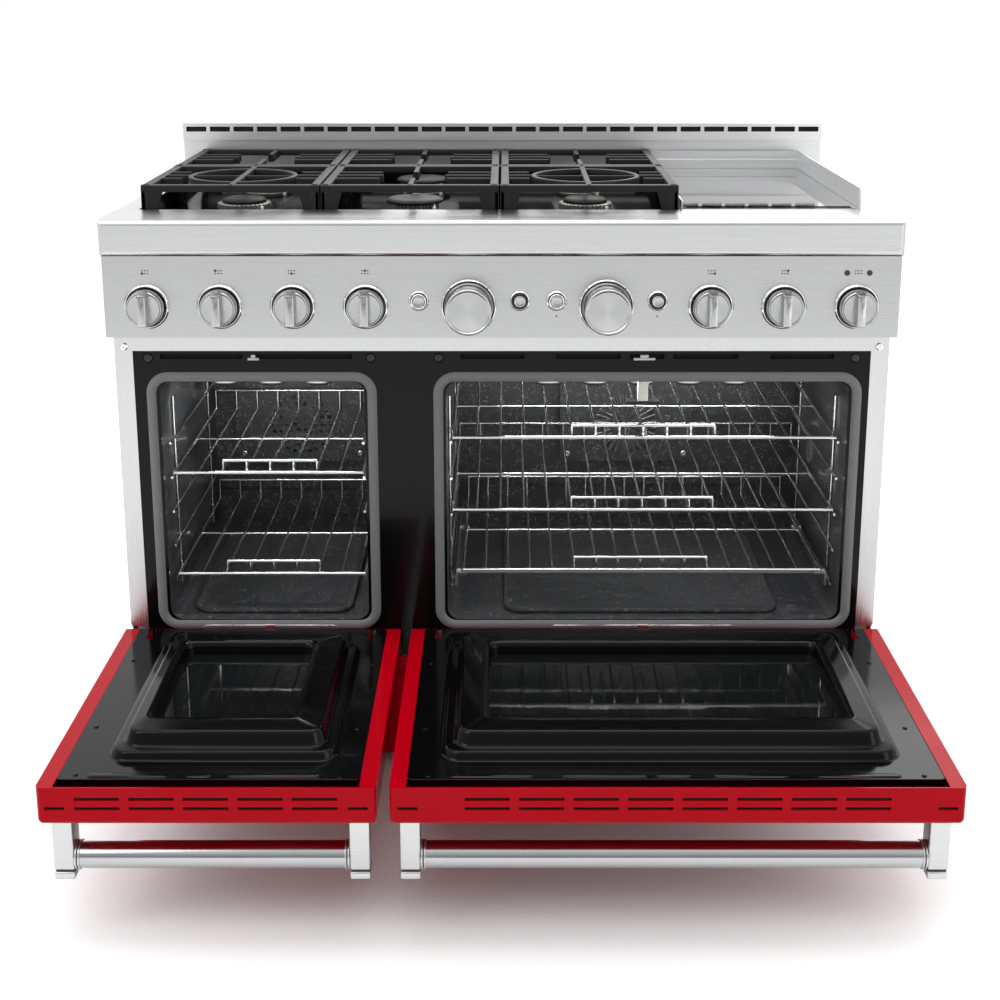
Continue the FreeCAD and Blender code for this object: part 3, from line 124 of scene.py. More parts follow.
def joined_faces(rows, columns, wrap_rows):
    """Four-sided faces between neighbouring points of a grid whose columns close on themselves."""
    index = np.arange(rows * columns).reshape(rows, columns)
    if wrap_rows:
        index = np.vstack([index, index[:1]])
    index = np.hstack([index, index[:, :1]])
    corners = (index[:-1, :-1], index[:-1, 1:], index[1:, 1:], index[1:, :-1])
    return np.stack(corners, axis=-1).reshape(-1, 4).tolist()


def skin(grid, wrap_rows=False):
    """A shell through rows of closed outlines. Its two end outlines are closed flat, or joined
    to each other."""
    rows, columns = grid.shape[:2]
    faces = joined_faces(rows, columns, wrap_rows)
    if not wrap_rows:
        last = (rows - 1) * columns
        faces.append(list(range(columns)))
        faces.append(list(range(last, last + columns)))
    return grid.reshape(-1, 3), faces


def eased(points, radius, steps=5, closed=False):
    """Outline with its corners eased: each is a quadratic curve (1-t)^2 a + 2t(1-t) b + t^2 c
    from a, the radius before the corner b, to c, the radius after it."""
    corners = np.array(points, dtype=float)

    def toward(others):
        away = others - corners
        span = np.maximum(np.linalg.norm(away, axis=1, keepdims=True), 1e-9)
        return corners + away * np.minimum(radius / span, 0.5)

    step = np.linspace(0, 1, steps)[None, :, None]
    curve = ((1 - step) ** 2 * toward(np.roll(corners, 1, axis=0))[:, None]
             + 2 * step * (1 - step) * corners[:, None]
             + step ** 2 * toward(np.roll(corners, -1, axis=0))[:, None])
    if closed:
        return curve.reshape(-1, corners.shape[1])
    return np.vstack([corners[:1], curve[1:-1].reshape(-1, corners.shape[1]), corners[-1:]])


def lathe(profile, centre, axis, steps=72, wave=None):
    """Surface of revolution: a point at (along, out) turns about the axis through the centre,
    at the distance out, or wave(out, angle) where there is one. A negative axis runs the
    other way."""
    along, out = np.array(profile, dtype=float).T
    angle = np.linspace(0, FULL_TURN, steps, endpoint=False)
    radius = out[:, None] * np.ones(steps) if wave is None else wave(out[:, None], angle)
    length_on = np.broadcast_to(along[:, None], radius.shape)
    sign = -1 if axis.startswith("-") else 1
    across, up = radius * np.cos(angle), radius * np.sin(angle)
    order = {"x": (sign * length_on, across, up), "y": (across, sign * length_on, up),
             "z": (across, up, sign * length_on)}[axis[-1]]
    return skin(np.stack(order, axis=-1) + np.asarray(centre))


def ring_shell(section, centre, axis, steps):
    """A ring: a closed section turned about an axis through the centre."""
    points, _ = lathe(section, centre, axis, steps)
    return skin(points.reshape(len(section), steps, 3), wrap_rows=True)


def oblong(half_x, half_y, radius, steps=8):
    """Rounded rectangles, one row for each level: four quarter circles of the radius, about
    the corners of a rectangle that is smaller by the radius all round."""
    half_x, half_y, radius = np.broadcast_arrays(half_x, half_y, radius)
    half_x, half_y, radius = (np.reshape(part, (-1, 1)).astype(float)
                              for part in (half_x, half_y, radius))
    turn = np.repeat(np.arange(4), steps) * math.pi / 2 + np.tile(
        np.linspace(0, math.pi / 2, steps), 4)
    side_x = np.repeat([1, -1, -1, 1], steps)
    side_y = np.repeat([1, 1, -1, -1], steps)
    return (side_x * (half_x - radius) + radius * np.cos(turn),
            side_y * (half_y - radius) + radius * np.sin(turn))


def levels(table, plane, steps=8):
    """A grid lofted through rounded rectangles. Each row of the table gives the centre across
    and along, the two half sizes, the corner radius and the height of one of them. The plane
    names which axis each of across, along and height runs on."""
    across, along, half_a, half_b, radius, height = np.array(table, dtype=float).T
    first, second = oblong(half_a, half_b, radius, steps)
    first = first + across[:, None]
    second = second + along[:, None]
    third = np.broadcast_to(height[:, None], first.shape)
    order = {"xyz": (first, second, third), "xzy": (first, third, second)}[plane]
    return np.stack(order, axis=-1)


def block(low, high, edge, plane="xyz", steps=4):
    """A box with every edge eased: rounded rectangles that shrink by the edge at both ends."""
    low, high = np.array(low, dtype=float), np.array(high, dtype=float)
    order = [0, 1, 2] if plane == "xyz" else [0, 2, 1]
    centre, half = ((low + high) / 2)[order], ((high - low) / 2)[order]
    turn = np.linspace(0, math.pi / 2, 4)
    inset = edge * (1 - np.sin(turn))
    rise = edge * (1 - np.cos(turn))
    insets = np.concatenate([inset, inset[::-1]])
    heights = np.concatenate([centre[2] - half[2] + rise, centre[2] + half[2] - rise[::-1]])
    table = [[centre[0], centre[1], half[0] - gone, half[1] - gone, max(edge - gone, edge * 0.3),
              height] for gone, height in zip(insets, heights)]
    return skin(levels(table, plane, steps))


def beam(start, end, top, foot, depth, edge=1.6):
    """A cast bar from start to end, both on its top face: a section that is wider at the foot,
    with eased upper corners, carried along the line between them."""
    start, end = np.array(start, dtype=float), np.array(end, dtype=float)
    along = (end - start) / np.linalg.norm(end - start)
    side = np.cross(along, (0, 0, 1))
    section = eased([(-foot / 2, -depth), (-top / 2, 0), (top / 2, 0), (foot / 2, -depth)],
                    edge, 4, closed=True)
    offset = section[:, :1] * side + section[:, 1:] * np.array([0, 0, 1])
    return skin(np.stack([start + offset, end + offset]))


def tube(path, radius, sides=10):
    """A round wire along a path in space: circles square to the path's direction."""
    path = np.asarray(path, dtype=float)
    ahead = np.gradient(path, axis=0)
    ahead /= np.linalg.norm(ahead, axis=1, keepdims=True)
    helper = np.where(np.abs(ahead[:, 2:]) > 0.9, [[1.0, 0, 0]], [[0, 0, 1.0]])
    side = np.cross(ahead, helper)
    side /= np.linalg.norm(side, axis=1, keepdims=True)
    up = np.cross(side, ahead)
    angle = np.linspace(0, FULL_TURN, sides, endpoint=False)
    grid = (path[:, None] + radius * (side[:, None] * np.cos(angle)[None, :, None]
                                      + up[:, None] * np.sin(angle)[None, :, None]))
    return skin(grid)


def placed(name, data):
    """A new object in the scene."""
    made = bpy.data.objects.new(name, data)
    bpy.context.scene.collection.objects.link(made)
    return made


def welded(name, points, faces):
    """A mesh from points in millimetres, its doubled points joined and its faces outwards."""
    mesh = bpy.data.meshes.new(name)
    mesh.from_pydata((points * MM).tolist(), [], faces)
    work = bmesh.new()
    work.from_mesh(mesh)
    bmesh.ops.remove_doubles(work, verts=work.verts, dist=1e-6)
    bmesh.ops.dissolve_degenerate(work, edges=work.edges, dist=1e-7)
    bmesh.ops.recalc_face_normals(work, faces=work.faces)
    work.to_mesh(mesh)
    work.free()
    return mesh


def piece(name, shells, finish, body, replaces=(), sharp=32):
    """One object from closed shells, in a finish, riding on a body."""
    points, faces, start = [], [], 0
    for shell_points, shell_faces in shells:
        points.append(shell_points)
        faces += [[corner + start for corner in face] for face in shell_faces]
        start += len(shell_points)
    mesh = welded(name, np.vstack(points), faces)
    mesh.polygons.foreach_set("use_smooth", np.ones(len(mesh.polygons), dtype=bool))
    mesh.set_sharp_from_angle(angle=math.radians(sharp))
    mesh.materials.append(FINISHES[finish])
    made = placed(name, mesh)
    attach(made, body)
    if replaces:
        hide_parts(*replaces)
    return made


def dress(finish, *nodes):
    """Gives nodes of the frame their finish."""
    for name in nodes:
        mesh = frame["nodes"][name].data
        mesh.materials.clear()
        mesh.materials.append(FINISHES[finish])


def opened(target, cutters):
    """A piece with boxes cut out of it, the result kept as plain mesh."""
    holders = []
    for low, high in cutters:
        holder = placed("cutter", welded("cutter", *block(low, high, 0.1)))
        holders.append(holder)
        change = target.modifiers.new("opening", "BOOLEAN")
        change.operation, change.object, change.solver = "DIFFERENCE", holder, "EXACT"
    graph = bpy.context.evaluated_depsgraph_get()
    finished = bpy.data.meshes.new_from_object(target.evaluated_get(graph))
    target.modifiers.clear()
    target.data = finished
    for holder in holders:
        bpy.data.objects.remove(holder)


# --- materials -----------------------------------------------------------------------------

def add(tree, kind, inputs=None, **settings):
    """Adds a node with its settings. An input is a constant or a socket to link from."""
    made = tree.nodes.new(kind)
    for name, value in settings.items():
        setattr(made, name, value)
    for name, value in (inputs or {}).items():
        socket = made.inputs[name]
        if isinstance(value, bpy.types.NodeSocket):
            tree.links.new(value, socket)
        else:
            socket.default_value = value
    return made


def begin(name, constants):
    """A new material with one surface shader, whose plain numbers are set on its own sockets."""
    material = bpy.data.materials.new(name)
    material.use_nodes = True
    tree = material.node_tree
    tree.nodes.clear()
    shader = add(tree, "ShaderNodeBsdfPrincipled", constants)
    output = add(tree, "ShaderNodeOutputMaterial")
    tree.links.new(shader.outputs["BSDF"], output.inputs["Surface"])
    place = add(tree, "ShaderNodeTexCoord").outputs["Object"]
    return material, tree, shader, place


def tint(rgb):
    """A colour property as the four numbers that a socket takes."""
    return (*rgb, 1.0)


def stretched(tree, place, scale, detail=4.0, grain=1.0):
    """Noise whose cells are a different size on each axis."""
    mapped = add(tree, "ShaderNodeMapping", {"Vector": place, "Scale": scale})
    return add(tree, "ShaderNodeTexNoise", {"Vector": mapped.outputs["Vector"], "Scale": grain,
                                            "Detail": detail, "Roughness": 0.6})


def mixed(tree, factor, first, second):
    """A colour between two others."""
    return add(tree, "ShaderNodeMix", {0: factor, 6: first, 7: second}, data_type="RGBA").outputs[2]


def ranged(tree, value, low, high, from_low=0.3, from_high=0.7):
    """A value's range stretched onto another."""
    return add(tree, "ShaderNodeMapRange", {"Value": value, "From Min": from_low,
                                            "From Max": from_high, "To Min": low,
                                            "To Max": high}).outputs["Result"]


def relief(tree, shader, height, depth, strength=1.0):
    """Bump on a shader, from a height of 0 to 1 that stands for the depth."""
    bump = add(tree, "ShaderNodeBump", {"Height": height, "Strength": strength,
                                        "Distance": depth})
    tree.links.new(bump.outputs["Normal"], shader.inputs["Normal"])


def brushed_stainless(name, rgb, along, roughness):
    """Ferritic stainless sheet, belt-brushed: fine straight scratches of about 0.3 mm, drawn
    at 1 mm so that they show, over slow changes of shade along the grain."""
    material, tree, shader, place = begin(name, {"Metallic": 1.0, "Anisotropic": 0.45})
    fine = {"x": (6, 900, 900), "y": (900, 6, 900), "z": (900, 900, 6)}[along]
    slow = {"x": (0.8, 40, 40), "y": (40, 0.8, 40), "z": (40, 40, 0.8)}[along]
    scratches = stretched(tree, place, fine).outputs["Fac"]
    shade = stretched(tree, place, slow, 3.0).outputs["Fac"]
    paler = tint([min(1.0, part * 1.06) for part in rgb])
    darker = tint([part * 0.94 for part in rgb])
    base = mixed(tree, ranged(tree, scratches, 0.0, 1.0), darker, paler)
    grey = mixed(tree, ranged(tree, shade, 0.0, 0.3), base, tint([part * 0.94 for part in rgb]))
    tree.links.new(grey, shader.inputs["Base Color"])
    tree.links.new(ranged(tree, scratches, roughness - 0.06, roughness + 0.08),
                   shader.inputs["Roughness"])
    relief(tree, shader, scratches, 0.05 * MM, 0.2)
    return material


def polished_steel(name, rgb, roughness):
    """Polished stainless or bright chrome: a mirror with faint cleaning haze, cells of 30 mm."""
    material, tree, shader, place = begin(name, {"Metallic": 1.0, "Base Color": tint(rgb)})
    haze = stretched(tree, place, (30, 30, 30), 5.0).outputs["Fac"]
    tree.links.new(ranged(tree, haze, roughness, roughness * 2.2), shader.inputs["Roughness"])
    return material


def spun_metal(name, rgb, roughness, pitch):
    """Turned aluminium: the lathe tool leaves rings about 0.4 mm apart, drawn at the pitch.
    The rings follow the distance from the axis that the piece stores in its own attribute."""
    material, tree, shader, _ = begin(name, {"Metallic": 1.0, "Base Color": tint(rgb),
                                                 "Anisotropic": 0.9})
    radius = add(tree, "ShaderNodeAttribute", attribute_name="from_axis").outputs["Fac"]
    rings = add(tree, "ShaderNodeMath", {0: radius, 1: FULL_TURN / pitch}, operation="MULTIPLY")
    wave = add(tree, "ShaderNodeMath", {0: rings.outputs[0]}, operation="SINE")
    tangent = add(tree, "ShaderNodeTangent", direction_type="UV_MAP", uv_map="turned")
    tree.links.new(tangent.outputs["Tangent"], shader.inputs["Tangent"])
    tree.links.new(ranged(tree, wave.outputs[0], roughness - 0.05, roughness + 0.08, -1, 1),
                   shader.inputs["Roughness"])
    relief(tree, shader, ranged(tree, wave.outputs[0], 0.0, 1.0, -1, 1), 0.02 * MM, 0.3)
    return material


def gloss_enamel(name, rgb, roughness, ripple, shine):
    """Fired or baked gloss enamel on steel: a hard wet shine with a slight orange-peel ripple,
    cells of about 6 mm."""
    material, tree, shader, place = begin(
        name, {"Coat Weight": shine / 4, "Coat Roughness": 0.03, "IOR": 1.35,
               "Specular IOR Level": shine})
    peel = stretched(tree, place, (160, 160, 160), 2.0).outputs["Fac"]
    drift = stretched(tree, place, (9, 9, 9), 3.0).outputs["Fac"]
    deeper = tint([part * 0.93 for part in rgb])
    tree.links.new(mixed(tree, ranged(tree, drift, 0.0, 1.0), tint(rgb), deeper),
                   shader.inputs["Base Color"])
    tree.links.new(ranged(tree, drift, roughness, roughness * 1.6), shader.inputs["Roughness"])
    relief(tree, shader, peel, ripple, 0.25)
    return material


def speckled_enamel(name, rgb, speck):
    """Pyrolytic ground coat: a dark glass with pale specks of 1 to 2 mm and a pebbly skin."""
    material, tree, shader, place = begin(name, {"IOR": 1.52, "Coat Weight": 0.2,
                                                 "Coat Roughness": 0.12})
    cells = add(tree, "ShaderNodeTexVoronoi", {"Vector": place, "Scale": 330.0})
    spots = ranged(tree, cells.outputs["Distance"], 1.0, 0.0, 0.12, 0.3)
    cloud = stretched(tree, place, (70, 70, 70), 3.0).outputs["Fac"]
    kept = add(tree, "ShaderNodeMath", {0: spots, 1: ranged(tree, cloud, 0.0, 1.0, 0.45, 0.6)},
               operation="MULTIPLY").outputs[0]
    tree.links.new(mixed(tree, kept, tint(rgb), tint(speck)), shader.inputs["Base Color"])
    tree.links.new(ranged(tree, cloud, 0.28, 0.42), shader.inputs["Roughness"])
    relief(tree, shader, spots, 0.15 * MM, 0.4)
    return material


def cast_iron(name, rgb):
    """Sand-cast iron under matt porcelain: grain of about 1 mm, paler in patches on faces that
    point upwards.
    """
    material, tree, shader, place = begin(name, {"IOR": 1.5, "Specular IOR Level": 0.3})
    grain = stretched(tree, place, (900, 900, 900), 6.0).outputs["Fac"]
    patches = stretched(tree, place, (45, 45, 45), 3.0).outputs["Fac"]
    facing = add(tree, "ShaderNodeNewGeometry").outputs["Normal"]
    upward = add(tree, "ShaderNodeSeparateXYZ", {"Vector": facing}).outputs["Z"]
    top = add(tree, "ShaderNodeMath", {0: ranged(tree, upward, 0.0, 1.0, 0.85, 1.0),
                                       1: ranged(tree, patches, 0.35, 1.0)}, operation="MULTIPLY")
    pale = tint([part * 2.6 + 0.006 for part in rgb])
    tree.links.new(mixed(tree, top.outputs[0], tint(rgb), pale), shader.inputs["Base Color"])
    tree.links.new(ranged(tree, grain, 0.42, 0.6), shader.inputs["Roughness"])
    relief(tree, shader, grain, 0.25 * MM, 0.5)
    return material


def cast_alloy(name, rgb):
    """Die-cast aluminium burner body: satin grey with a fine as-cast grain of 0.8 mm."""
    material, tree, shader, place = begin(name, {"Metallic": 1.0})
    grain = stretched(tree, place, (1200, 1200, 1200), 4.0).outputs["Fac"]
    tree.links.new(mixed(tree, ranged(tree, grain, 0.0, 1.0), tint(rgb),
                         tint([part * 0.75 for part in rgb])), shader.inputs["Base Color"])
    tree.links.new(ranged(tree, grain, 0.3, 0.45), shader.inputs["Roughness"])
    relief(tree, shader, grain, 0.1 * MM, 0.4)
    return material


def woven_gasket(name, rgb, pitch):
    """Glass-fibre braid: two sets of strands crossing at 45 degrees, one pitch apart. The low
    places between the strands are painted darker, as painted shade.
    """
    material, tree, shader, place = begin(name, {"Roughness": 0.75, "Sheen Weight": 0.3})
    axes = add(tree, "ShaderNodeSeparateXYZ", {"Vector": place}).outputs
    strands = []
    for operation in ("ADD", "SUBTRACT"):
        lean = add(tree, "ShaderNodeMath", {0: axes["X"], 1: axes["Z"]}, operation=operation)
        turns = add(tree, "ShaderNodeMath", {0: lean.outputs[0], 1: FULL_TURN / pitch},
                    operation="MULTIPLY")
        strands.append(add(tree, "ShaderNodeMath", {0: turns.outputs[0]}, operation="SINE"))
    weave = add(tree, "ShaderNodeMath", {0: strands[0].outputs[0], 1: strands[1].outputs[0]},
                operation="MULTIPLY").outputs[0]
    height = ranged(tree, weave, 0.0, 1.0, -1, 1)
    # Painted shade: the colour falls to a third where the weave is low, between the strands.
    tree.links.new(mixed(tree, height, tint([part * 0.35 for part in rgb]), tint(rgb)),
                   shader.inputs["Base Color"])
    relief(tree, shader, height, 0.5 * MM, 0.8)
    return material


def tinted_glass(name, code, roughness):
    """Oven-door glass, soda-lime float with a dark heat-reflecting coat."""
    material, tree, shader, place = begin(name, {
        "Base Color": tint(linear(code)), "Transmission Weight": 0.85, "IOR": 1.52})
    smear = stretched(tree, place, (18, 18, 18), 4.0).outputs["Fac"]
    tree.links.new(ranged(tree, smear, roughness, roughness + 0.03), shader.inputs["Roughness"])
    return material


def plain_finish(name, code, roughness, metallic=0.0, grain=400):
    """A small plain part: one colour with a faint grain in shade and gloss."""
    material, tree, shader, place = begin(name, {"Metallic": metallic})
    cells = stretched(tree, place, (grain, grain, grain), 4.0).outputs["Fac"]
    base = linear(code)
    tree.links.new(mixed(tree, ranged(tree, cells, 0.0, 1.0), tint(base),
                         tint([part * 0.86 for part in base])), shader.inputs["Base Color"])
    tree.links.new(ranged(tree, cells, roughness * 0.85, roughness * 1.2),
                   shader.inputs["Roughness"])
    relief(tree, shader, cells, 0.06 * MM, 0.3)
    return material


FINISHES = {}


def make_finishes(colours):
    """Every finish of the range, by the name that the pieces ask for it."""
    FINISHES.update({
        # Grain runs level on the front, as sheet is brushed along its length.
        "steel": brushed_stainless("Brushed stainless steel", colours.steel, "x", 0.3),
        "panel_steel": brushed_stainless("Brushed stainless panel", colours.panel, "x", 0.28),
        # Fine satin grain of the backguard and of the griddle's splash walls.
        "satin_steel": brushed_stainless("Satin stainless steel", colours.chrome, "x", 0.42),
        "trim_steel": brushed_stainless("Brushed stainless trim", colours.steel, "z", 0.3),
        "side_steel": brushed_stainless("Brushed stainless side", colours.steel, "y", 0.34),
        "bar_steel": brushed_stainless("Brushed stainless tube", colours.panel, "x", 0.16),
        # Mirror finish of the screws and of the rings round the controls.
        "mirror_steel": polished_steel("Polished stainless steel", colours.chrome, 0.06),
        # Nickel-chrome plate on the oven wires, near white with dark reflections.
        "chrome": polished_steel("Chrome-plated wire", colours.chrome, 0.1),
        # The griddle plate is ground and buffed until it mirrors the wall behind it.
        "griddle_steel": polished_steel("Buffed griddle plate", colours.steel, 0.03),
        # Turned and clear-anodised aluminium of the knob and dial faces.
        "spun": spun_metal("Turned aluminium", colours.panel, 0.22, 0.9 * MM),
        "red_enamel": gloss_enamel("Red baked enamel", colours.enamel, 0.12, 0.04 * MM, 0.1),
        "black_enamel": gloss_enamel("Black porcelain enamel", colours.frame, 0.1, 0.05 * MM, 0.22),
        "oven_enamel": speckled_enamel("Speckled oven enamel", colours.cavity, colours.speck),
        "iron": cast_iron("Enamelled cast iron", colours.iron),
        "alloy": cast_alloy("Die-cast burner alloy", colours.alloy),
        "braid": woven_gasket("Glass-fibre braid", colours.braid,
                              bpy.context.scene.range_sizes.braid * MM),
        "door_glass": tinted_glass("Tinted oven glass", "#2B2F31", 0.02),
        "lamp_glass": tinted_glass("Ribbed lamp glass", "#F2F1EC", 0.12),
        "ceramic": plain_finish("White steatite ceramic", "#E9E7E1", 0.35),
        "zinc": plain_finish("Zinc-plated steel", "#A9ABAC", 0.38, 1.0, 120),
        "galvanised": plain_finish("Galvanised sheet", "#9FA3A6", 0.42, 1.0, 60),
        "chromate": plain_finish("Yellow chromate steel", "#B79C55", 0.4, 1.0, 200),
        "dark_metal": plain_finish("Oxidised heating tube", "#3A3835", 0.5, 1.0, 500),
        # Black nylon of the bumpers and the start collars; the same black also stands as painted
        # shade in the gaps round the controls and along the door handles.
        "black_plastic_and_shade": plain_finish("Black nylon and painted shade", "#0B0B0C", 0.45),
        "mark": plain_finish("Printed mark", "#2A2A2B", 0.6),
        # Near-black finish of the blocks set behind slots and drains: painted shadow.
        "shadow": plain_finish("Painted shadow black", "#020202", 0.9), })


# --- casing and front ----------------------------------------------------------------------

class RANGE_OT_casing(bpy.types.Operator):
    """Finishes of the sheet-steel casing, the base, and black blocks of painted shadow behind the
    vents
    """
    bl_idname = "gas_range.casing"
    bl_label = "Casing"

    def execute(self, context):
        dress("steel", "front_ledge", "cooktop_pan")
        dress("satin_steel", "backguard")
        dress("panel_steel", "control_panel")
        dress("trim_steel", "front_trim")
        dress("side_steel", "side_panels")
        dress("galvanised", "rear_panel", "base_frame")
        dress("zinc", "hinge_arms", "fan_motors", "levelling_feet")
        dress("chromate", "gas_manifold")
        dress("black_enamel", "front_frame")
        dress("red_enamel", "kick_plate")
        # A black block of painted shadow behind the backguard's slots, so that they show dark.
        low, high = ends("backguard")
        inset, slot_band = 4, (28, 4)
        slot_shadow = block((low[0] + inset, low[1] + 3, high[2] - slot_band[0]),
                       (high[0] - inset, low[1] + 30, high[2] - slot_band[1]), 1)
        piece("backguard_slot_painted_shadow", [slot_shadow], "shadow", "root")
        # A black block of painted shadow behind the vent slots of the front frame.
        frame_low, frame_high = ends("front_frame")
        vent_low, vent_high = 684, 704
        vent_shadow = block((frame_low[0] + inset, frame_high[1] - 6, vent_low),
                     (frame_high[0] - inset, frame_high[1] + 6, vent_high), 1)
        piece("door_vent_painted_shadow", [vent_shadow], "shadow", "root")
        return {"FINISHED"}


class RANGE_OT_front_fittings(bpy.types.Operator):
    """Screws, door latches, and the spring clips that hold the oven gaskets down"""
    bl_idname = "gas_range.front_fittings"
    bl_label = "Front fittings"

    def execute(self, context):
        low, high = ends("front_trim")
        cover_y = ends("fan_covers")[0][1]
        trim_screw_z, cover_screw_z, cover_screw_reach = 712, 407, 108
        heads = [screw_head((side * (high[0] - 14), low[1], trim_screw_z)) for side in SIDES]
        for oven in OVENS:
            hub = middle(f"{oven}_oven_fan")[0]
            for side in SIDES:
                heads.append(screw_head((hub + side * cover_screw_reach, cover_y, cover_screw_z)))
        piece("fixing_screw_heads", heads, "mirror_steel", "root",
              replaces=("fixing_screws",))

        face = ends("front_frame")[0][1]
        latches, bumpers = [], []
        catch_z, bumper_z = 689, 693.5
        for across, wide in ((-386.6, 9), (222, 17)):
            latches.append(block((across - wide, face - 1.5, catch_z),
                                 (across + wide, face + 9, catch_z + 5), 1.2))
            tongue = wide * 0.4
            latches.append(block((across - tongue, face - 1.6, catch_z + 4),
                                 (across + tongue, face + 9, catch_z + 10), 1.2))
        piece("door_latches", latches, "zinc", "root")
        dome = eased([(-2.5, 0), (-2.5, 7), (1.2, 7), (2, 4), (2, 0)], 1.5)
        for across in (-550, -204, -98, 550):
            bumpers.append(lathe(dome, (across, face, bumper_z), "-y", 32))
        piece("door_bumpers", bumpers, "black_plastic_and_shade", "root")

        clips = []
        for oven, half in (("small", 108), ("large", 148)):
            centre = middle(f"{oven}_oven_liner")[0]
            clip_z, front = 248, face - 4
            corners_x = np.array([-half, -half + 4, half - 4, half]) + centre
            drop = np.array([-3, 0, 0, -3])
            path = np.stack([corners_x, np.full(4, front), clip_z + drop], axis=-1)
            clips.append(tube(eased(path, 3), 1.1))
            clips.append(block((centre - 9, front - 0.8, clip_z - 4),
                               (centre + 9, front + 3, clip_z + 2), 0.8))
        piece("gasket_clips", clips, "chrome", "root")
        return {"FINISHED"}


def screw_head(centre):
    """Round-headed screw: its profile dips in the middle, as a round socket."""
    profile = eased([(0.2, 0), (0.2, 2), (2.2, 2.3), (2.2, 4.2), (1, 6), (0, 6), (0, 0)], 0.5)
    return lathe(profile, centre, "-y", 28)


# --- controls ------------------------------------------------------------------------------

def store_turning(made, centre):
    """Stores each point's distance from a level axis, and a map whose first direction runs
    round that axis, so that turned marks follow the face."""
    mesh = made.data
    spots = np.empty(len(mesh.vertices) * 3)
    mesh.vertices.foreach_get("co", spots)
    spots = spots.reshape(-1, 3) - np.asarray(centre) * MM
    reach = np.hypot(spots[:, 0], spots[:, 2])
    mesh.attributes.new("from_axis", "FLOAT", "POINT").data.foreach_set("value", reach)
    corner = np.empty(len(mesh.loops), dtype=int)
    mesh.loops.foreach_get("vertex_index", corner)
    angle = np.arctan2(spots[:, 2], spots[:, 0])[corner]
    # The map is each corner's angle from the middle of its own face, so no face is split.
    starts = np.empty(len(mesh.polygons), dtype=int)
    totals = np.empty(len(mesh.polygons), dtype=int)
    mesh.polygons.foreach_get("loop_start", starts)
    mesh.polygons.foreach_get("loop_total", totals)
    owner = np.repeat(np.arange(len(starts)), totals)
    first = angle[starts][owner]
    turn = (angle - first + math.pi) % FULL_TURN - math.pi
    chart = np.stack([turn, reach[corner] * 20], axis=-1)
    mesh.uv_layers.new(name="turned").data.foreach_set("uv", chart.ravel())


def on_panel(node):
    """The middle of a control, on the face of the panel."""
    across, _, up = middle(node)
    return np.array([across, ends("control_panel")[0][1], up])


def knob_shells(centre, sizes):
    """A burner knob: a tapered skirt with a bright rim and a sunk face, and a bar grip."""
    profile = eased([(-1, 5), (1, 29.3), (14, 28.4), (20, 27.8), (22, 26.6), (22, 25.4),
                     (20.6, 24.2), (20.6, 0)], 1.2)
    profile = np.vstack([[(-1, 0)], profile])
    half = sizes.grip_width / 2
    reach, depth = 27.2, sizes.grip_depth
    front = centre[1]
    table = []
    for share, inward in ((0, 0), (0.82, 1.6), (0.94, 2.2), (1.0, 3.6)):
        table.append([centre[0], centre[2], half - inward, reach - inward * 1.4, 3,
                      front - 20 - depth * share])
    return [lathe(profile, centre, "-y", 80), skin(levels(table, "xzy", 6))]


class RANGE_OT_knobs(bpy.types.Operator):
    """Burner and griddle knobs, each on its own stem"""
    bl_idname = "gas_range.knobs"
    bl_label = "Knobs"

    def execute(self, context):
        sizes = context.scene.range_sizes
        for name in KNOBS:
            centre = middle(name)
            centre[1] = ends(name)[1][1] - 1
            made = piece(f"{name}_face", knob_shells(centre, sizes), "spun", name,
                         replaces=(name,))
            store_turning(made, centre)
        return {"FINISHED"}


class RANGE_OT_dials(bpy.types.Operator):
    """Oven dials with a flared foot and a spun face, and the push buttons beside them"""
    bl_idname = "gas_range.dials"
    bl_label = "Dials and buttons"

    def execute(self, context):
        for oven in OVENS:
            name = f"{oven}_oven_dial"
            centre = on_panel(name)
            profile = eased([(1, 4), (1, 38), (5, 37.6), (8, 35.4), (39, 34.6), (42, 35.6),
                             (44.5, 35.4), (46, 33.6), (45, 31.8), (43.6, 30.6), (45.4, 0)], 1.4)
            profile = np.vstack([[(1, 0)], profile])
            made = piece(f"{name}_body", [lathe(profile, centre, "-y", 128)], "spun",
                         name, replaces=(name,))
            store_turning(made, centre)
            for kind in ("light", "start"):
                self.button(f"{oven}_oven_{kind}_button", kind)
        return {"FINISHED"}

    def button(self, name, kind):
        """A push button with a dished spun top."""
        centre = on_panel(name)
        profile = eased([(-12, 0), (-12, 9), (-6, 9.6), (7.5, 9.6), (9, 8.2), (8, 6),
                         (7.6, 0)], 1.2)
        made = piece(f"{name}_cap", [lathe(profile, centre, "-y", 56)], "spun", name,
                     replaces=(name,))
        store_turning(made, centre)
        collar = eased([(5, 9.7), (5, 11.9), (8.6, 11.7),
                        (9.2, 10.8), (8.6, 9.7)], 0.5, 4, closed=True)
        finish = "black_plastic_and_shade" if kind == "start" else "mirror_steel"
        piece(f"{name}_collar", [ring_shell(collar, centre, "-y", 56)], finish, name)


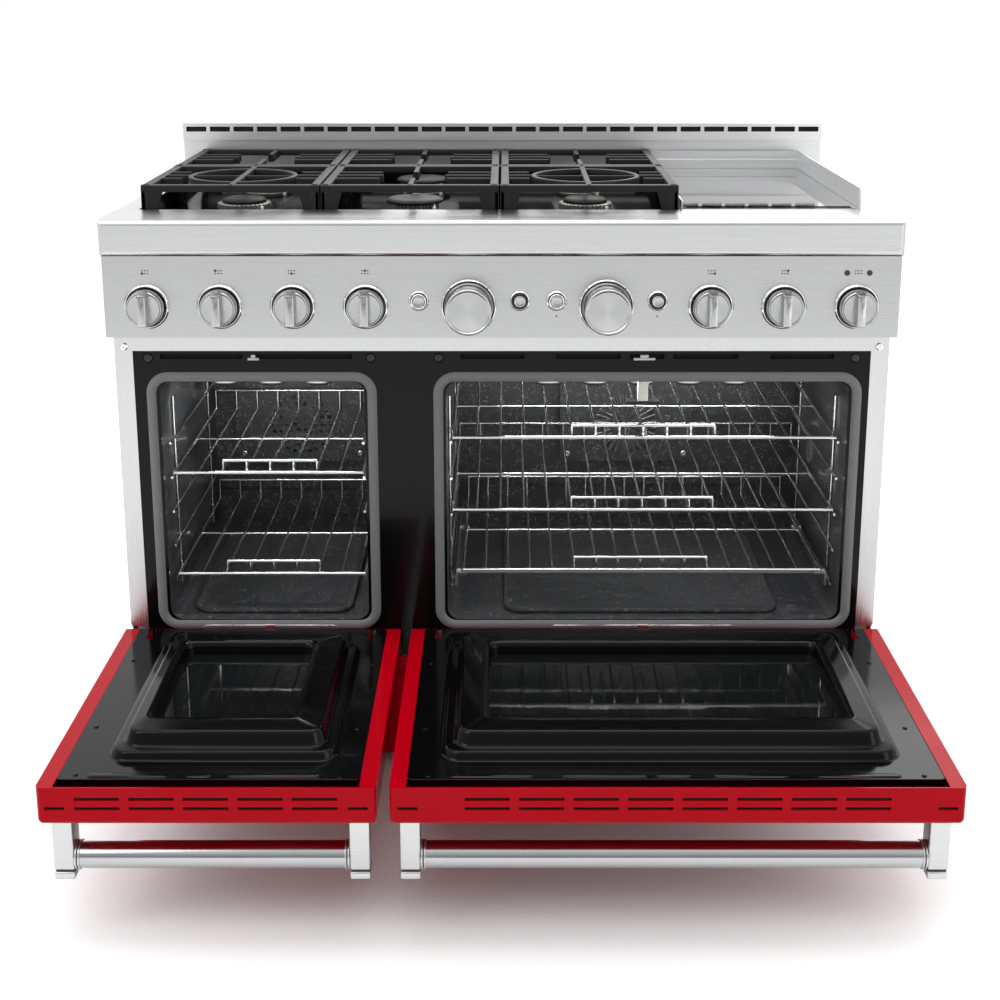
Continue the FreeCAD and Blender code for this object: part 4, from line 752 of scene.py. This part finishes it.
class RANGE_OT_bezels(bpy.types.Operator):
    """Rings set in the control panel round every control, with black rings of painted shade inside
    them and printed marks beside them
    """
    bl_idname = "gas_range.bezels"
    bl_label = "Rings and marks"

    def execute(self, context):
        rings, gaps, marks = [], [], []
        for name in KNOBS:
            centre = on_panel(name)
            rings.append(self.ring(centre, 31, 34.8, 5.4))
            # A black ring of painted shade in the gap between each knob and its ring.
            gaps.append(self.ring(centre, 29.5, 31.2, 2.2))
            marks += self.burner_marks(centre, KNOBS.index(name))
        for oven in OVENS:
            centre = on_panel(f"{oven}_oven_dial")
            rings.append(self.ring(centre, 39.4, 42, 3.4))
            # The same painted shade between each dial and its ring.
            gaps.append(self.ring(centre, 38.1, 39.6, 1.2))
            for angle in FULL_TURN * np.array([0.125, 0.375, 0.625, 0.875]):
                spot = centre + 40.8 * np.array([math.cos(angle), 0, math.sin(angle)])
                marks.append(self.dot(spot, 0.9, 3.5))
            for kind in ("light", "start"):
                button = on_panel(f"{oven}_oven_{kind}_button")
                rings.append(self.ring(button, 12.7, 15.6, 3.4))
                if oven == "large":
                    marks.append(self.dot(button - np.array([0, 0, 24]), 1.3, 0.4))
        piece("control_rings", rings, "mirror_steel", "root",
              replaces=("control_bezels",))
        piece("control_ring_painted_shade", gaps, "black_plastic_and_shade", "root")
        piece("panel_marks", marks, "mark", "root")
        return {"FINISHED"}

    def ring(self, centre, inner, outer, proud):
        """A ring of the panel: a bevelled band between two radii, closed round its section."""
        section = eased([(-0.4, inner), (-0.4, outer), (proud * 0.45, outer),
                         (proud, (inner * 2 + outer) / 3), (proud * 0.9, inner)], 0.7, 4,
                        closed=True)
        return ring_shell(section, centre, "-y", 88)

    def dot(self, spot, radius, proud):
        """A small printed disc."""
        profile = [(-0.3, 0), (-0.3, radius), (proud, radius), (proud, 0)]
        return lathe(profile, spot, "-y", 16)

    def burner_marks(self, centre, place):
        """An index tick over the knob and a plan of the burners with one of them filled in."""
        tick = block(centre + np.array([-0.5, -5.6, 32]), centre + np.array([0.5, -4.4, 34.4]), 0.2)
        plan = []
        chosen = {0: 0, 1: 3, 2: 1, 3: 4, 4: 2, 5: 5}.get(place)
        for spot in range(6):
            across, down = spot % 3 - 1, spot // 3
            where = centre + np.array([across * 4.4, 0, 51 + down * 4.4])
            plan.append(self.dot(where, 2 if spot == chosen else 1.1, 0.35))
        if chosen is None:
            for side in SIDES:
                where = centre + np.array([side * 17, 0, 52])
                plan.append(self.dot(where, 4.4, 0.6))
        return [tick, *plan]


# --- cooktop -------------------------------------------------------------------------------

class RANGE_OT_grates(bpy.types.Operator):
    """Cast grates: frames on corner legs with arched skirts, fingers, and rings for a wok"""
    bl_idname = "gas_range.grates"
    bl_label = "Grates"

    def execute(self, context):
        sizes = context.scene.range_sizes
        for name in GRATES:
            low, high = ends(name)
            length_each = 263
            shells = self.casting(low, high, low[1], length_each, name != GRATES[1], sizes)
            shells += self.casting(low, high, high[1] - length_each, length_each, False, sizes)
            piece(f"{name}_castings", shells, "iron", "root", replaces=(name,))
        return {"FINISHED"}

    def casting(self, low, high, front, deep, has_ring, sizes):
        """One grate. Every bar is a beam whose top is the grate's top face."""
        left, right, top = low[0] + 0.5, high[0] - 0.5, high[2]
        back = front + deep
        wide = sizes.grate_bar
        inset = wide / 2
        centre = np.array([(left + right) / 2, (front + back) / 2, top])
        rail = 11
        shells = []
        for row in (front + inset, back - inset):
            shells.append(beam((left, row, top), (right, row, top), wide - 2, wide, rail))
        for column in (left + inset, right - inset):
            shells.append(beam((column, front, top), (column, back, top), wide - 2, wide, rail))
        foot = low[2]
        for column, side in ((left, 1), (right, -1)):
            for row, away in ((front, 1), (back, -1)):
                shells += self.leg(column, row, side, away, top - rail + 1, foot, wide)
        finger, across = sizes.grate_finger, 40 if has_ring else 78
        for step in (-1, 0, 1):
            row = centre[1] + step * 40
            for column, side in ((left + wide / 2, 1), (right - wide / 2, -1)):
                reach = across + (4 if step == 0 else 0)
                shells.append(beam((column, row, top), (column + side * reach, row, top),
                                   finger - 2, finger, 13))
        if has_ring:
            shells.append(self.hoop(centre))
            shells.append(beam((centre[0], front, top), (centre[0], back, top), 9, 11, 12))
            shells.append(beam((centre[0] - 84, centre[1], top - 1),
                               (centre[0] + 84, centre[1], top - 1), 4, 6, 10))
        else:
            for start, end in ((front, front + 92), (back, back - 92)):
                shells.append(beam((centre[0], start, top), (centre[0], end, top), 8, 11, 14))
        return shells

    def leg(self, column, row, side, away, high, low, wide):
        """A corner leg and the two webs that arch from it into the rails. A web narrows on its
        way down: its edge is reach * (1 - taper sin t - hollow (1 - cos t)) from the corner
        at drop * sin(t)^1.6 below the rail, for t over a quarter turn."""
        shells = [block((min(column, column + side * wide), min(row, row + away * wide), low),
                        (max(column, column + side * wide), max(row, row + away * wide), high),
                        1.6)]
        reach, drop = 34, high - low
        taper, hollow = 0.22, 0.429
        turn = np.linspace(0, math.pi / 2, 9)
        edge = np.stack([reach * (1 - taper * np.sin(turn) - hollow * (1 - np.cos(turn))),
                         -drop * (np.sin(turn) ** 1.6)], axis=-1)
        outline = np.vstack([edge, [(0, -drop), (0, 0)]])
        thick = 6
        for along_x in (True, False):
            sheets = []
            for offset in (0.4, thick):
                flat = np.empty((len(outline), 3))
                if along_x:
                    flat[:, 0] = column + side * outline[:, 0]
                    flat[:, 1] = row + away * offset
                else:
                    flat[:, 0] = column + side * offset
                    flat[:, 1] = row + away * outline[:, 0]
                flat[:, 2] = high + outline[:, 1]
                sheets.append(flat)
            shells.append(skin(np.stack(sheets)))
        return shells

    def hoop(self, centre):
        """The ring: an eased square section turned about the upright through the centre."""
        section = eased([(-12, 80), (0, 81), (0, 89), (-12, 90)], 2, 4, closed=True)
        return ring_shell(section, centre, "z", 96)


class RANGE_OT_burners(bpy.types.Operator):
    """Burner basin, ported crowns and enamelled caps, with an igniter beside each burner"""
    bl_idname = "gas_range.burners"
    bl_label = "Burners"

    def execute(self, context):
        low, _ = ends("burner_caps")
        places = [(low[0] + 48 + column * 282, low[1] + 48 + row * 264)
                  for column in range(3) for row in range(2)]
        base = ends("burner_bases")[0][2] + 36
        crowns, caps, sparks = [], [], []
        for place, (across, along) in enumerate(places):
            centre = np.array([across, along, base])
            # The middle pair has broad caps; the others have small caps on wide crowns.
            is_broad = place in (2, 3)
            cap_out, crown_out = (48, 40) if is_broad else (37, 44)
            crown = eased([(-36, 0), (-36, 15), (0, 16), (0, 40), (4, 40), (7, 33), (10, 35)], 1)
            crowns.append(lathe(crown, centre, "z", 72))
            rim = crown_out
            teeth = [(9.5, 0), (9.5, rim - 8), (11, rim), (20, rim), (20.9, rim - 1.6), (20.9, 0)]
            crowns.append(lathe(teeth, centre, "z", 288, self.ported))
            edge = cap_out
            cap = eased([(21, 0), (21, edge - 2), (23, edge), (26, edge - 1), (28.6, edge - 6),
                         (29.6, edge * 0.66), (29.2, edge * 0.5),
                         (30.2, edge * 0.42), (30.8, 0)], 2)
            caps.append(lathe(cap, centre, "z", 80))
            post = eased([(0, 0), (0, 3), (17, 3), (18, 1.2), (21, 1.2), (21, 0)], 0.6)
            sparks.append(lathe(post, centre + np.array([34, -34, 0]), "z", 20))
        piece("burner_basin", [self.basin()], "black_enamel", "root")
        piece("burner_crowns", crowns, "alloy", "root", replaces=("burner_bases",))
        piece("burner_cap_tops", caps, "iron", "root", replaces=("burner_caps",))
        piece("spark_igniters", sparks, "ceramic", "root")
        return {"FINISHED"}

    def basin(self):
        """Enamelled dish under the grates: an outer wall, a rolled lip, and an inner wall that
        curves into a flat floor."""
        low, _ = ends(GRATES[0])
        _, high = ends(GRATES[2])
        across, along = (low[0] + high[0]) / 2, (low[1] + high[1]) / 2
        half_x, half_y = (high[0] - low[0]) / 2 + 2.6, (high[1] - low[1]) / 2 + 1.4
        floor, lip = 886.4, 913.6
        rings = ((0.3, floor - 0.35, 10), (0.3, floor - 0.05, 10), (0.3, 900, 10),
                 (0.3, lip - 0.6, 10), (0.9, lip, 10), (1.8, lip - 1, 10), (2.4, 906, 10),
                 (3.4, floor + 1.2, 9), (6, floor, 9))
        table = [[across, along, half_x - inset, half_y - inset, corner, height]
                 for inset, height, corner in rings]
        return skin(levels(table, "xyz", 6))

    def ported(self, out, angle):
        """Gas ports: the wall steps inwards over nearly half of each of 36 equal divisions."""
        slot = (np.sin(angle * 36) > 0.25).astype(float)
        wall_radius, port_depth = 37, 3.4
        return out * np.ones_like(angle) - np.where(out > wall_radius, slot * port_depth, 0)


class RANGE_OT_griddle(bpy.types.Operator):
    """Griddle plate, its drip slots with a black block of painted shadow under them, and the splash
    walls behind and beside it
    """
    bl_idname = "gas_range.griddle"
    bl_label = "Griddle"

    def execute(self, context):
        dress("griddle_steel", "griddle_plate")
        dress("satin_steel", "griddle_splash")
        low, high = ends("griddle_plate")
        # A black block of painted shadow under the drip slots, so that they show dark.
        drip = block((low[0] + 8, low[1] + 8, low[2] + 0.4),
                     (high[0] - 8, low[1] + 22, high[2] - 7.2), 0.4)
        piece("griddle_drip_painted_shadow", [drip], "shadow", "root")
        splash_low, splash_high = ends("griddle_splash")
        bead_y = splash_high[1] - 3.6
        bead_z = 932
        path = np.linspace((splash_low[0] + 3, bead_y, bead_z),
                           (splash_high[0] - 5, bead_y, bead_z), 5)
        piece("splash_bead", [tube(path, 1.1)],
              "steel", "root")
        return {"FINISHED"}


# --- ovens and racks -----------------------------------------------------------------------

class RANGE_OT_ovens(bpy.types.Operator):
    """Enamelled cavities with their fans, lamps, floor pans, gaskets and supports"""
    bl_idname = "gas_range.ovens"
    bl_label = "Ovens"

    def execute(self, context):
        dress("oven_enamel", "small_oven_liner", "large_oven_liner", "fan_covers")
        dress("chrome", "rack_ladders")
        dress("zinc", "small_oven_fan", "large_oven_fan", "rollout_frame")
        dress("lamp_glass", "oven_lamps")
        dress("dark_metal", "broil_elements")
        low, high = ends("oven_gaskets")
        beads, pans = [], []
        for oven in OVENS:
            cavity_low, cavity_high = ends(f"{oven}_oven_liner")
            centre = (cavity_low[0] + cavity_high[0]) / 2
            half = (cavity_high[0] - cavity_low[0]) / 2 - 2
            beads.append(self.bead(centre, half + 19.5, low, high))
            pans.append(self.pan(oven, centre))
        piece("oven_gasket_braid", beads, "braid", "root",
              replaces=("oven_gaskets",))
        piece("oven_floor_pan_pressings", pans, "oven_enamel", "root",
              replaces=("oven_floor_pans",))
        piece("fan_cover_rims", self.cover_rims(), "zinc", "root")
        lamp_low, lamp_high = ends("large_oven_liner")
        block_low = np.array([(lamp_low[0] + lamp_high[0]) / 2 - 8, -4, 602])
        block_high = block_low + np.array([16, 16, 52])
        piece("broil_insulator", [block(block_low - 0.4, block_high + 0.4, 2)],
              "ceramic", "root")
        return {"FINISHED"}

    def bead(self, centre, half, low, high):
        """The gasket: its section bulges as a half sine to the power of 0.6 between its outer
        and inner edges, and follows a rounded rectangle round the mouth."""
        middle_z, half_z = (low[2] + high[2]) / 2, (high[2] - low[2]) / 2
        table = []
        deep = high[1] - low[1]
        for share in np.linspace(0, 1, 9):
            inset = 14.5 * share
            height = high[1] - deep * (0.12 + 0.88 * math.sin(math.pi * share) ** 0.6)
            table.append([centre, middle_z, half - inset, half_z - inset, 34 - inset, height])
        table.append([centre, middle_z, half - 15, half_z - 15, 19, high[1]])
        table.insert(0, [centre, middle_z, half, half_z, 34, high[1]])
        return skin(levels(table, "xzy", 10), wrap_rows=True)

    def cover_rims(self):
        """Raised rims of the fan covers: eyelets round the small oven's holes, which lie on
        four circles, and ribs between the large oven's radial slots."""
        front = ends("fan_covers")[0][1]
        hub = middle("small_oven_fan")
        shells = []
        section = np.array([(-0.2, 3.3), (-0.2, 5.2), (0.9, 4.2)])
        for radius, count in ((12, 6), (26, 12), (40, 18), (53, 24)):
            for angle in np.arange(count) * FULL_TURN / count:
                spot = (hub[0] + radius * math.cos(angle), front, hub[2] + radius * math.sin(angle))
                shells.append(ring_shell(section, spot, "-y", 14))
        hub = middle("large_oven_fan")
        ribs = 28
        for angle in FULL_TURN * (np.arange(ribs) + 0.5) / ribs:
            along = np.array([math.cos(angle), 0, math.sin(angle)])
            start = np.array([hub[0], front, hub[2]]) + along * 30
            path = np.linspace(start, start + along * 27, 3)
            shells.append(tube(path, 1, 6))
        return shells

    def pan(self, oven, centre):
        """A loose floor pan with a rolled rim round its sunk floor."""
        low, high = ends("oven_floor_pans")
        half = {"small": 130, "large": 225}[oven]
        middle_y = (low[1] + high[1] + 18) / 2
        half_y = (high[1] - low[1] - 18) / 2
        top = high[2]
        rim = 3.4
        rings = ((3, 27, 6), (0, 30, 5), (0, 30, 0.8), (1.2, 29, 0), (rim, 27, 0.2),
                 (2 * rim, 24, 2.2))
        table = [[centre, middle_y, half - inset, half_y - inset, corner, top - sunk]
                 for inset, corner, sunk in rings]
        return skin(levels(table, "xyz", 8))


class RANGE_OT_racks(bpy.types.Operator):
    """Bright plate of the wire racks"""
    bl_idname = "gas_range.racks"
    bl_label = "Racks"

    def execute(self, context):
        dress("chrome", "small_rack_lower", "small_rack_upper", "large_rack_middle",
              "large_rack_upper", "rollout_rack")
        return {"FINISHED"}


# --- doors ---------------------------------------------------------------------------------

class RANGE_OT_doors(bpy.types.Operator):
    """Enamelled skins, pressed liners with a sunk window, and handles"""
    bl_idname = "gas_range.doors"
    bl_label = "Doors"

    def execute(self, context):
        sizes = context.scene.range_sizes
        pressings = {
            "small": [(-546, -439), (-416, -381), (-361, -238)],
            "large": [(-68, 42), (79, 192), (204, 250), (280, 379), (416, 528)]}
        rivets = {
            "small": [(-562, -444), (-213, -452), (-569, -310), (-202, -318), (-568, -94),
                      (-198, -109)],
            "large": [(-96, -449), (558, -447), (-106, -317), (566, -314), (-108, -106),
                      (565, -102)]}
        for oven in OVENS:
            dress("red_enamel", f"{oven}_door_skin")
            dress("door_glass", f"{oven}_door_glass")
            self.liner(oven, sizes)
            self.pressings(oven, pressings[oven], rivets[oven])
            self.vents(oven)
            self.handle(oven, sizes)
        return {"FINISHED"}

    def liner(self, oven, sizes):
        """The pressed liner as one sheet: a flat edge, two steps that lean inwards, a bead
        round the window and a recess down to the pane. Its heights are a loft of rounded
        rectangles, from the edge of the sheet inwards."""
        low, high = ends(f"{oven}_door_liner")
        cavity_low, cavity_high = ends(f"{oven}_oven_liner")
        plug_x = (cavity_low[0] + cavity_high[0]) / 2
        plug_half = (cavity_high[0] - cavity_low[0]) / 2 - 2 - 7
        door_x, door_half = (low[0] + high[0]) / 2, (high[0] - low[0]) / 2
        pane_low, pane_high = ends(f"{oven}_door_glass")
        pane_half = (pane_high[0] - pane_low[0]) / 2 - 9
        pane_y = (pane_low[1] + pane_high[1]) / 2
        pane_half_y = (pane_high[1] - pane_low[1]) / 2 - 9
        middle_y, half_y = (low[1] + high[1]) / 2, (high[1] - low[1]) / 2
        front, rear = -523, -156
        flat, shelf, top = 245, 257, 278
        corner = sizes.liner_corner

        sheet = 1.4
        plate_low = flat - sheet
        plug_y, plug_half_y = (front + rear) / 2, (rear - front) / 2
        edge_rings = ((0, plate_low), (0, flat - 0.3), (0.5, flat), (1.5, flat))
        table = [[door_x, middle_y, door_half - inset, half_y - inset, 6, height]
                 for inset, height in edge_rings]
        plug_rings = ((-5, 5, flat), (-2.5, 3, flat + 0.05), (-0.6, 1, flat + 0.8),
                      (0.6, 0, flat + 3.5), (2.4, 0, shelf - 2.6), (3.4, 0, shelf - 0.8),
                      (5.6, 0, shelf), (13.6, 0, shelf + 0.1), (15.6, -2, shelf + 1),
                      (17.2, -2, shelf + 4), (21, -4, top - 4), (23, -5, top - 1), (26, -6, top))
        table += [[plug_x, plug_y, plug_half - inset, plug_half_y - inset, corner + wider, height]
                  for inset, wider, height in plug_rings]
        pane_rings = ((-15, top), (-13, top + 0.9), (-9, top + 1), (-5, top + 0.4), (-2, top - 3),
                      (-0.5, top - 9), (0, top - 18.5))
        table += [[door_x, pane_y, pane_half - inset, pane_half_y - inset, 14 + inset * 0.2, height]
                  for inset, height in pane_rings]
        outline = levels(table, "xyz", 10)
        under = outline[::-1].copy()
        under[..., 2] -= sheet
        under[-3:, :, 2] = plate_low - 0.4
        grid = np.concatenate([outline, under[:-3]])
        made = piece(f"{oven}_door_liner_pressing", [skin(grid, wrap_rows=True)],
                     "black_enamel", f"{oven}_door",
                     replaces=(f"{oven}_door_liner",), sharp=48)
        skin_low, skin_high = ends(f"{oven}_door_skin")
        arm_inset = 45
        slots = [((arm - 5, -131, 225), (arm + 5, -80, 262))
                 for arm in (skin_low[0] + arm_inset, skin_high[0] - arm_inset)]
        opened(made, slots)

    def pressings(self, oven, places, rivets):
        """Long pressed pads by the door's front edge, and the rivets that hold the liner."""
        row, flat = -563, 245
        shells = []
        for left, right in places:
            half = (right - left) / 2
            centre = (right + left) / 2
            rings = ((0, 5.6, 5.4, -0.4), (0, 5.6, 5.4, 0.3), (1.6, 4, 3.8, 1.6),
                     (3.4, 2.4, 2.3, 1.8))
            table = [[centre, row, half - inset, half_y, corner, flat + proud]
                     for inset, half_y, corner, proud in rings]
            shells.append(skin(levels(table, "xyz", 8)))
        heads = []
        # The rivets are placed from the front of the ledge.
        ledge_y = ends("front_ledge")[0][1]
        for across, along in rivets:
            dome = eased([(-0.6, 0), (-0.6, 3.4), (0.6, 3.4), (1.6, 2), (1.8, 0)], 0.8)
            heads.append(lathe(dome, (across, along + ledge_y, flat + 0.2), "z", 20))
        piece(f"{oven}_door_pressed_pads", shells, "black_enamel", f"{oven}_door")
        piece(f"{oven}_door_rivets", heads, "black_enamel", f"{oven}_door")

    def vents(self, oven):
        """Black block of painted shadow behind the cooling slots in the door's front edge."""
        low, high = ends(f"{oven}_door_skin")
        # Painted shadow: a black block that makes the slots show dark.
        slot_shadow = block((low[0] + 8, low[1] + 3.4, 207), (high[0] - 8, low[1] + 9, 236), 1)
        piece(f"{oven}_door_vent_painted_shadow", [slot_shadow], "shadow", f"{oven}_door")

    def handle(self, oven, sizes):
        """A brushed tube between two standoffs, each with a foot cap below a groove; black pieces
        in that groove and between the bar's collars are painted shade.
        """
        low, high = ends(f"{oven}_door_handle")
        edge = sizes.edge
        centre_y, bar_z, radius = -556, 126, 18
        wide, deep = 27, 34
        reach, size = 2.5, 19.6
        bar, posts, gaps = [], [], []
        ends_x = [low[0] + wide, high[0] - wide]
        profile = eased([(ends_x[0] - 1, 0), (ends_x[0] - 1, radius), (ends_x[1] + 1, radius),
                         (ends_x[1] + 1, 0)], 0.6)
        bar.append(lathe(profile, (0, centre_y, bar_z), "x", 72))
        for side, face in ((-1, ends_x[0]), (1, ends_x[1])):
            outer = face + side * wide
            left, right = min(face, outer), max(face, outer)
            posts.append(block((left, centre_y - deep / 2, low[2] + 14),
                               (right, centre_y + deep / 2, high[2]), 2.4))
            posts.append(block((left, centre_y - deep / 2, low[2]),
                               (right, centre_y + deep / 2, low[2] + 11), 2.4))
            # A black block of painted shade in the groove between the standoff and its foot cap.
            gaps.append(block((left + 1.5, centre_y - deep / 2 + 1.5, low[2] + 6),
                              (right - 1.5, centre_y + deep / 2 - 1.5, low[2] + 20), 1))
            for start in (0.5, 4.5):
                near = face - side * (start + reach)
                ring = eased([(0, 0), (0, size), (reach, size), (reach, 0)], edge * 0.6)
                ring[:, 0] += min(near, near + side * reach)
                posts.append(lathe(ring, (0, centre_y, bar_z), "x", 64))
            # A black band of painted shade on the bar, showing between and beside its collars.
            dark = eased([(0, 0), (0, 18.4), (7, 18.4), (7, 0)], 0.4)
            dark[:, 0] += min(face, face - side * 7)
            gaps.append(lathe(dark, (0, centre_y, bar_z), "x", 64))
        piece(f"{oven}_door_handle_bar", bar, "bar_steel", f"{oven}_door",
              replaces=(f"{oven}_door_handle",))
        piece(f"{oven}_door_handle_posts", posts, "steel", f"{oven}_door")
        piece(f"{oven}_door_handle_painted_shade", gaps, "black_plastic_and_shade", f"{oven}_door")


# --- stage ---------------------------------------------------------------------------------

class RANGE_OT_stage(bpy.types.Operator):
    """Pale floor, soft studio lights, and the camera in front of the range"""
    bl_idname = "gas_range.stage"
    bl_label = "Stage"

    def execute(self, context):
        scene = context.scene
        floor_mesh = bpy.data.meshes.new("floor")
        reach = 60.0
        floor_mesh.from_pydata([(-reach, -reach, 0), (reach, -reach, 0), (reach, reach, 0),
                                (-reach, reach, 0)], [], [(0, 1, 2, 3)])
        floor = placed("floor", floor_mesh)
        floor_mesh.materials.append(plain_finish("Matt white floor", "#FFFFFF", 1.0))
        floor_shader = floor_mesh.materials[0].node_tree.nodes["Principled BSDF"]
        floor_shader.inputs["Specular IOR Level"].default_value = 0.0

        world = bpy.data.worlds.new("studio")
        world.use_nodes = True
        tree = world.node_tree
        tree.nodes.clear()
        # The backdrop shows white, and lights the range from above and behind.
        seen = add(tree, "ShaderNodeLightPath").outputs["Is Camera Ray"]
        upward = add(tree, "ShaderNodeTexCoord").outputs["Generated"]
        lean = add(tree, "ShaderNodeVectorMath", {0: upward, 1: (0.0, 0.6, 1.0)},
                   operation="DOT_PRODUCT").outputs["Value"]
        lighting = ranged(tree, lean, 0.3, 1.5, -0.6, 1.0)
        strength = add(tree, "ShaderNodeMix", {"Factor": seen, "A": lighting, "B": 1.0},
                       data_type="FLOAT").outputs["Result"]
        background = add(tree, "ShaderNodeBackground", {"Color": (1, 1, 1, 1),
                                                        "Strength": strength})
        output = add(tree, "ShaderNodeOutputWorld")
        tree.links.new(background.outputs["Background"], output.inputs["Surface"])
        scene.world = world

        lights = [self.lamp("key", (-2.6, -2.6, 3.4), (0, -0.1, 0.5), 2.2, 2.2, 52),
                  self.lamp("fill", (3.0, -2.8, 1.6), (0, -0.1, 0.5), 1.6, 2.4, 26),
                  self.lamp("top", (0, -0.4, 3.6), (0, -0.1, 0), 2.6, 1.6, 46),
                  self.lamp("rear", (0.6, 3.0, 2.6), (0, 0, 0.6), 2.4, 1.4, 26)]
        for oven in OVENS:
            low, high = (corner * MM for corner in ends(f"{oven}_oven_liner"))
            across = (low[0] + high[0]) / 2
            lights.append(self.lamp(f"{oven}_oven_roof", (across, 0.02, 0.648),
                                    (across, 0.2, 0.3), (high[0] - low[0]) * 0.7, 0.05,
                                    2.1 if oven == "large" else 1.2))

        view = bpy.data.cameras.new("view")
        view.sensor_width = 36
        view.lens = 55.528
        view.shift_x = -0.005
        view.shift_y = -0.15
        view.clip_end = 60
        camera = placed("view", view)
        camera.location = (0.00504, -2.408, 1.26959)
        degrees_down = 13.6025
        camera.rotation_euler = (math.radians(90 - degrees_down), 0, 0)
        scene.camera = camera
        scene.view_settings.view_transform = "Standard"
        return {"FINISHED"}

    def lamp(self, name, place, target, wide, tall, power):
        """A soft rectangular lamp that faces a point."""
        data = bpy.data.lights.new(name, "AREA")
        data.shape, data.size, data.size_y, data.energy = "RECTANGLE", wide, tall, power
        made = placed(name, data)
        away = np.array(place) - np.array(target)
        made.location = place
        made.rotation_euler = (math.atan2(math.hypot(away[0], away[1]), away[2]), 0,
                               math.atan2(away[0], -away[1]))
        return made


class RANGE_PT_panel(bpy.types.Panel):
    """Sidebar panel that builds the range group by group"""
    bl_idname = "RANGE_PT_panel"
    bl_label = "Gas Range"
    bl_space_type = "VIEW_3D"
    bl_region_type = "UI"
    bl_category = "Gas Range"

    def draw(self, context):
        column = self.layout.column(align=True)
        for group in (context.scene.range_sizes, context.scene.range_colours):
            for name in group.__annotations__:
                column.prop(group, name)
        for operator in STEPS:
            column.operator(operator.bl_idname)


STEPS = (RANGE_OT_casing, RANGE_OT_front_fittings, RANGE_OT_knobs, RANGE_OT_dials,
         RANGE_OT_bezels, RANGE_OT_grates, RANGE_OT_burners, RANGE_OT_griddle, RANGE_OT_ovens,
         RANGE_OT_racks, RANGE_OT_doors, RANGE_OT_stage)
CLASSES = (RangeSizes, RangeColours, *STEPS, RANGE_PT_panel)


def register():
    for item in CLASSES:
        bpy.utils.register_class(item)
    bpy.types.Scene.range_sizes = bpy.props.PointerProperty(type=RangeSizes)
    bpy.types.Scene.range_colours = bpy.props.PointerProperty(type=RangeColours)


def unregister():
    del bpy.types.Scene.range_colours
    del bpy.types.Scene.range_sizes
    for item in reversed(CLASSES):
        bpy.utils.unregister_class(item)


def main():
    """Builds the whole range."""
    register()
    make_finishes(bpy.context.scene.range_colours)
    for step in STEPS:
        group, name = step.bl_idname.split(".")
        getattr(getattr(bpy.ops, group), name)()


if __name__ == "__main__":
    main()
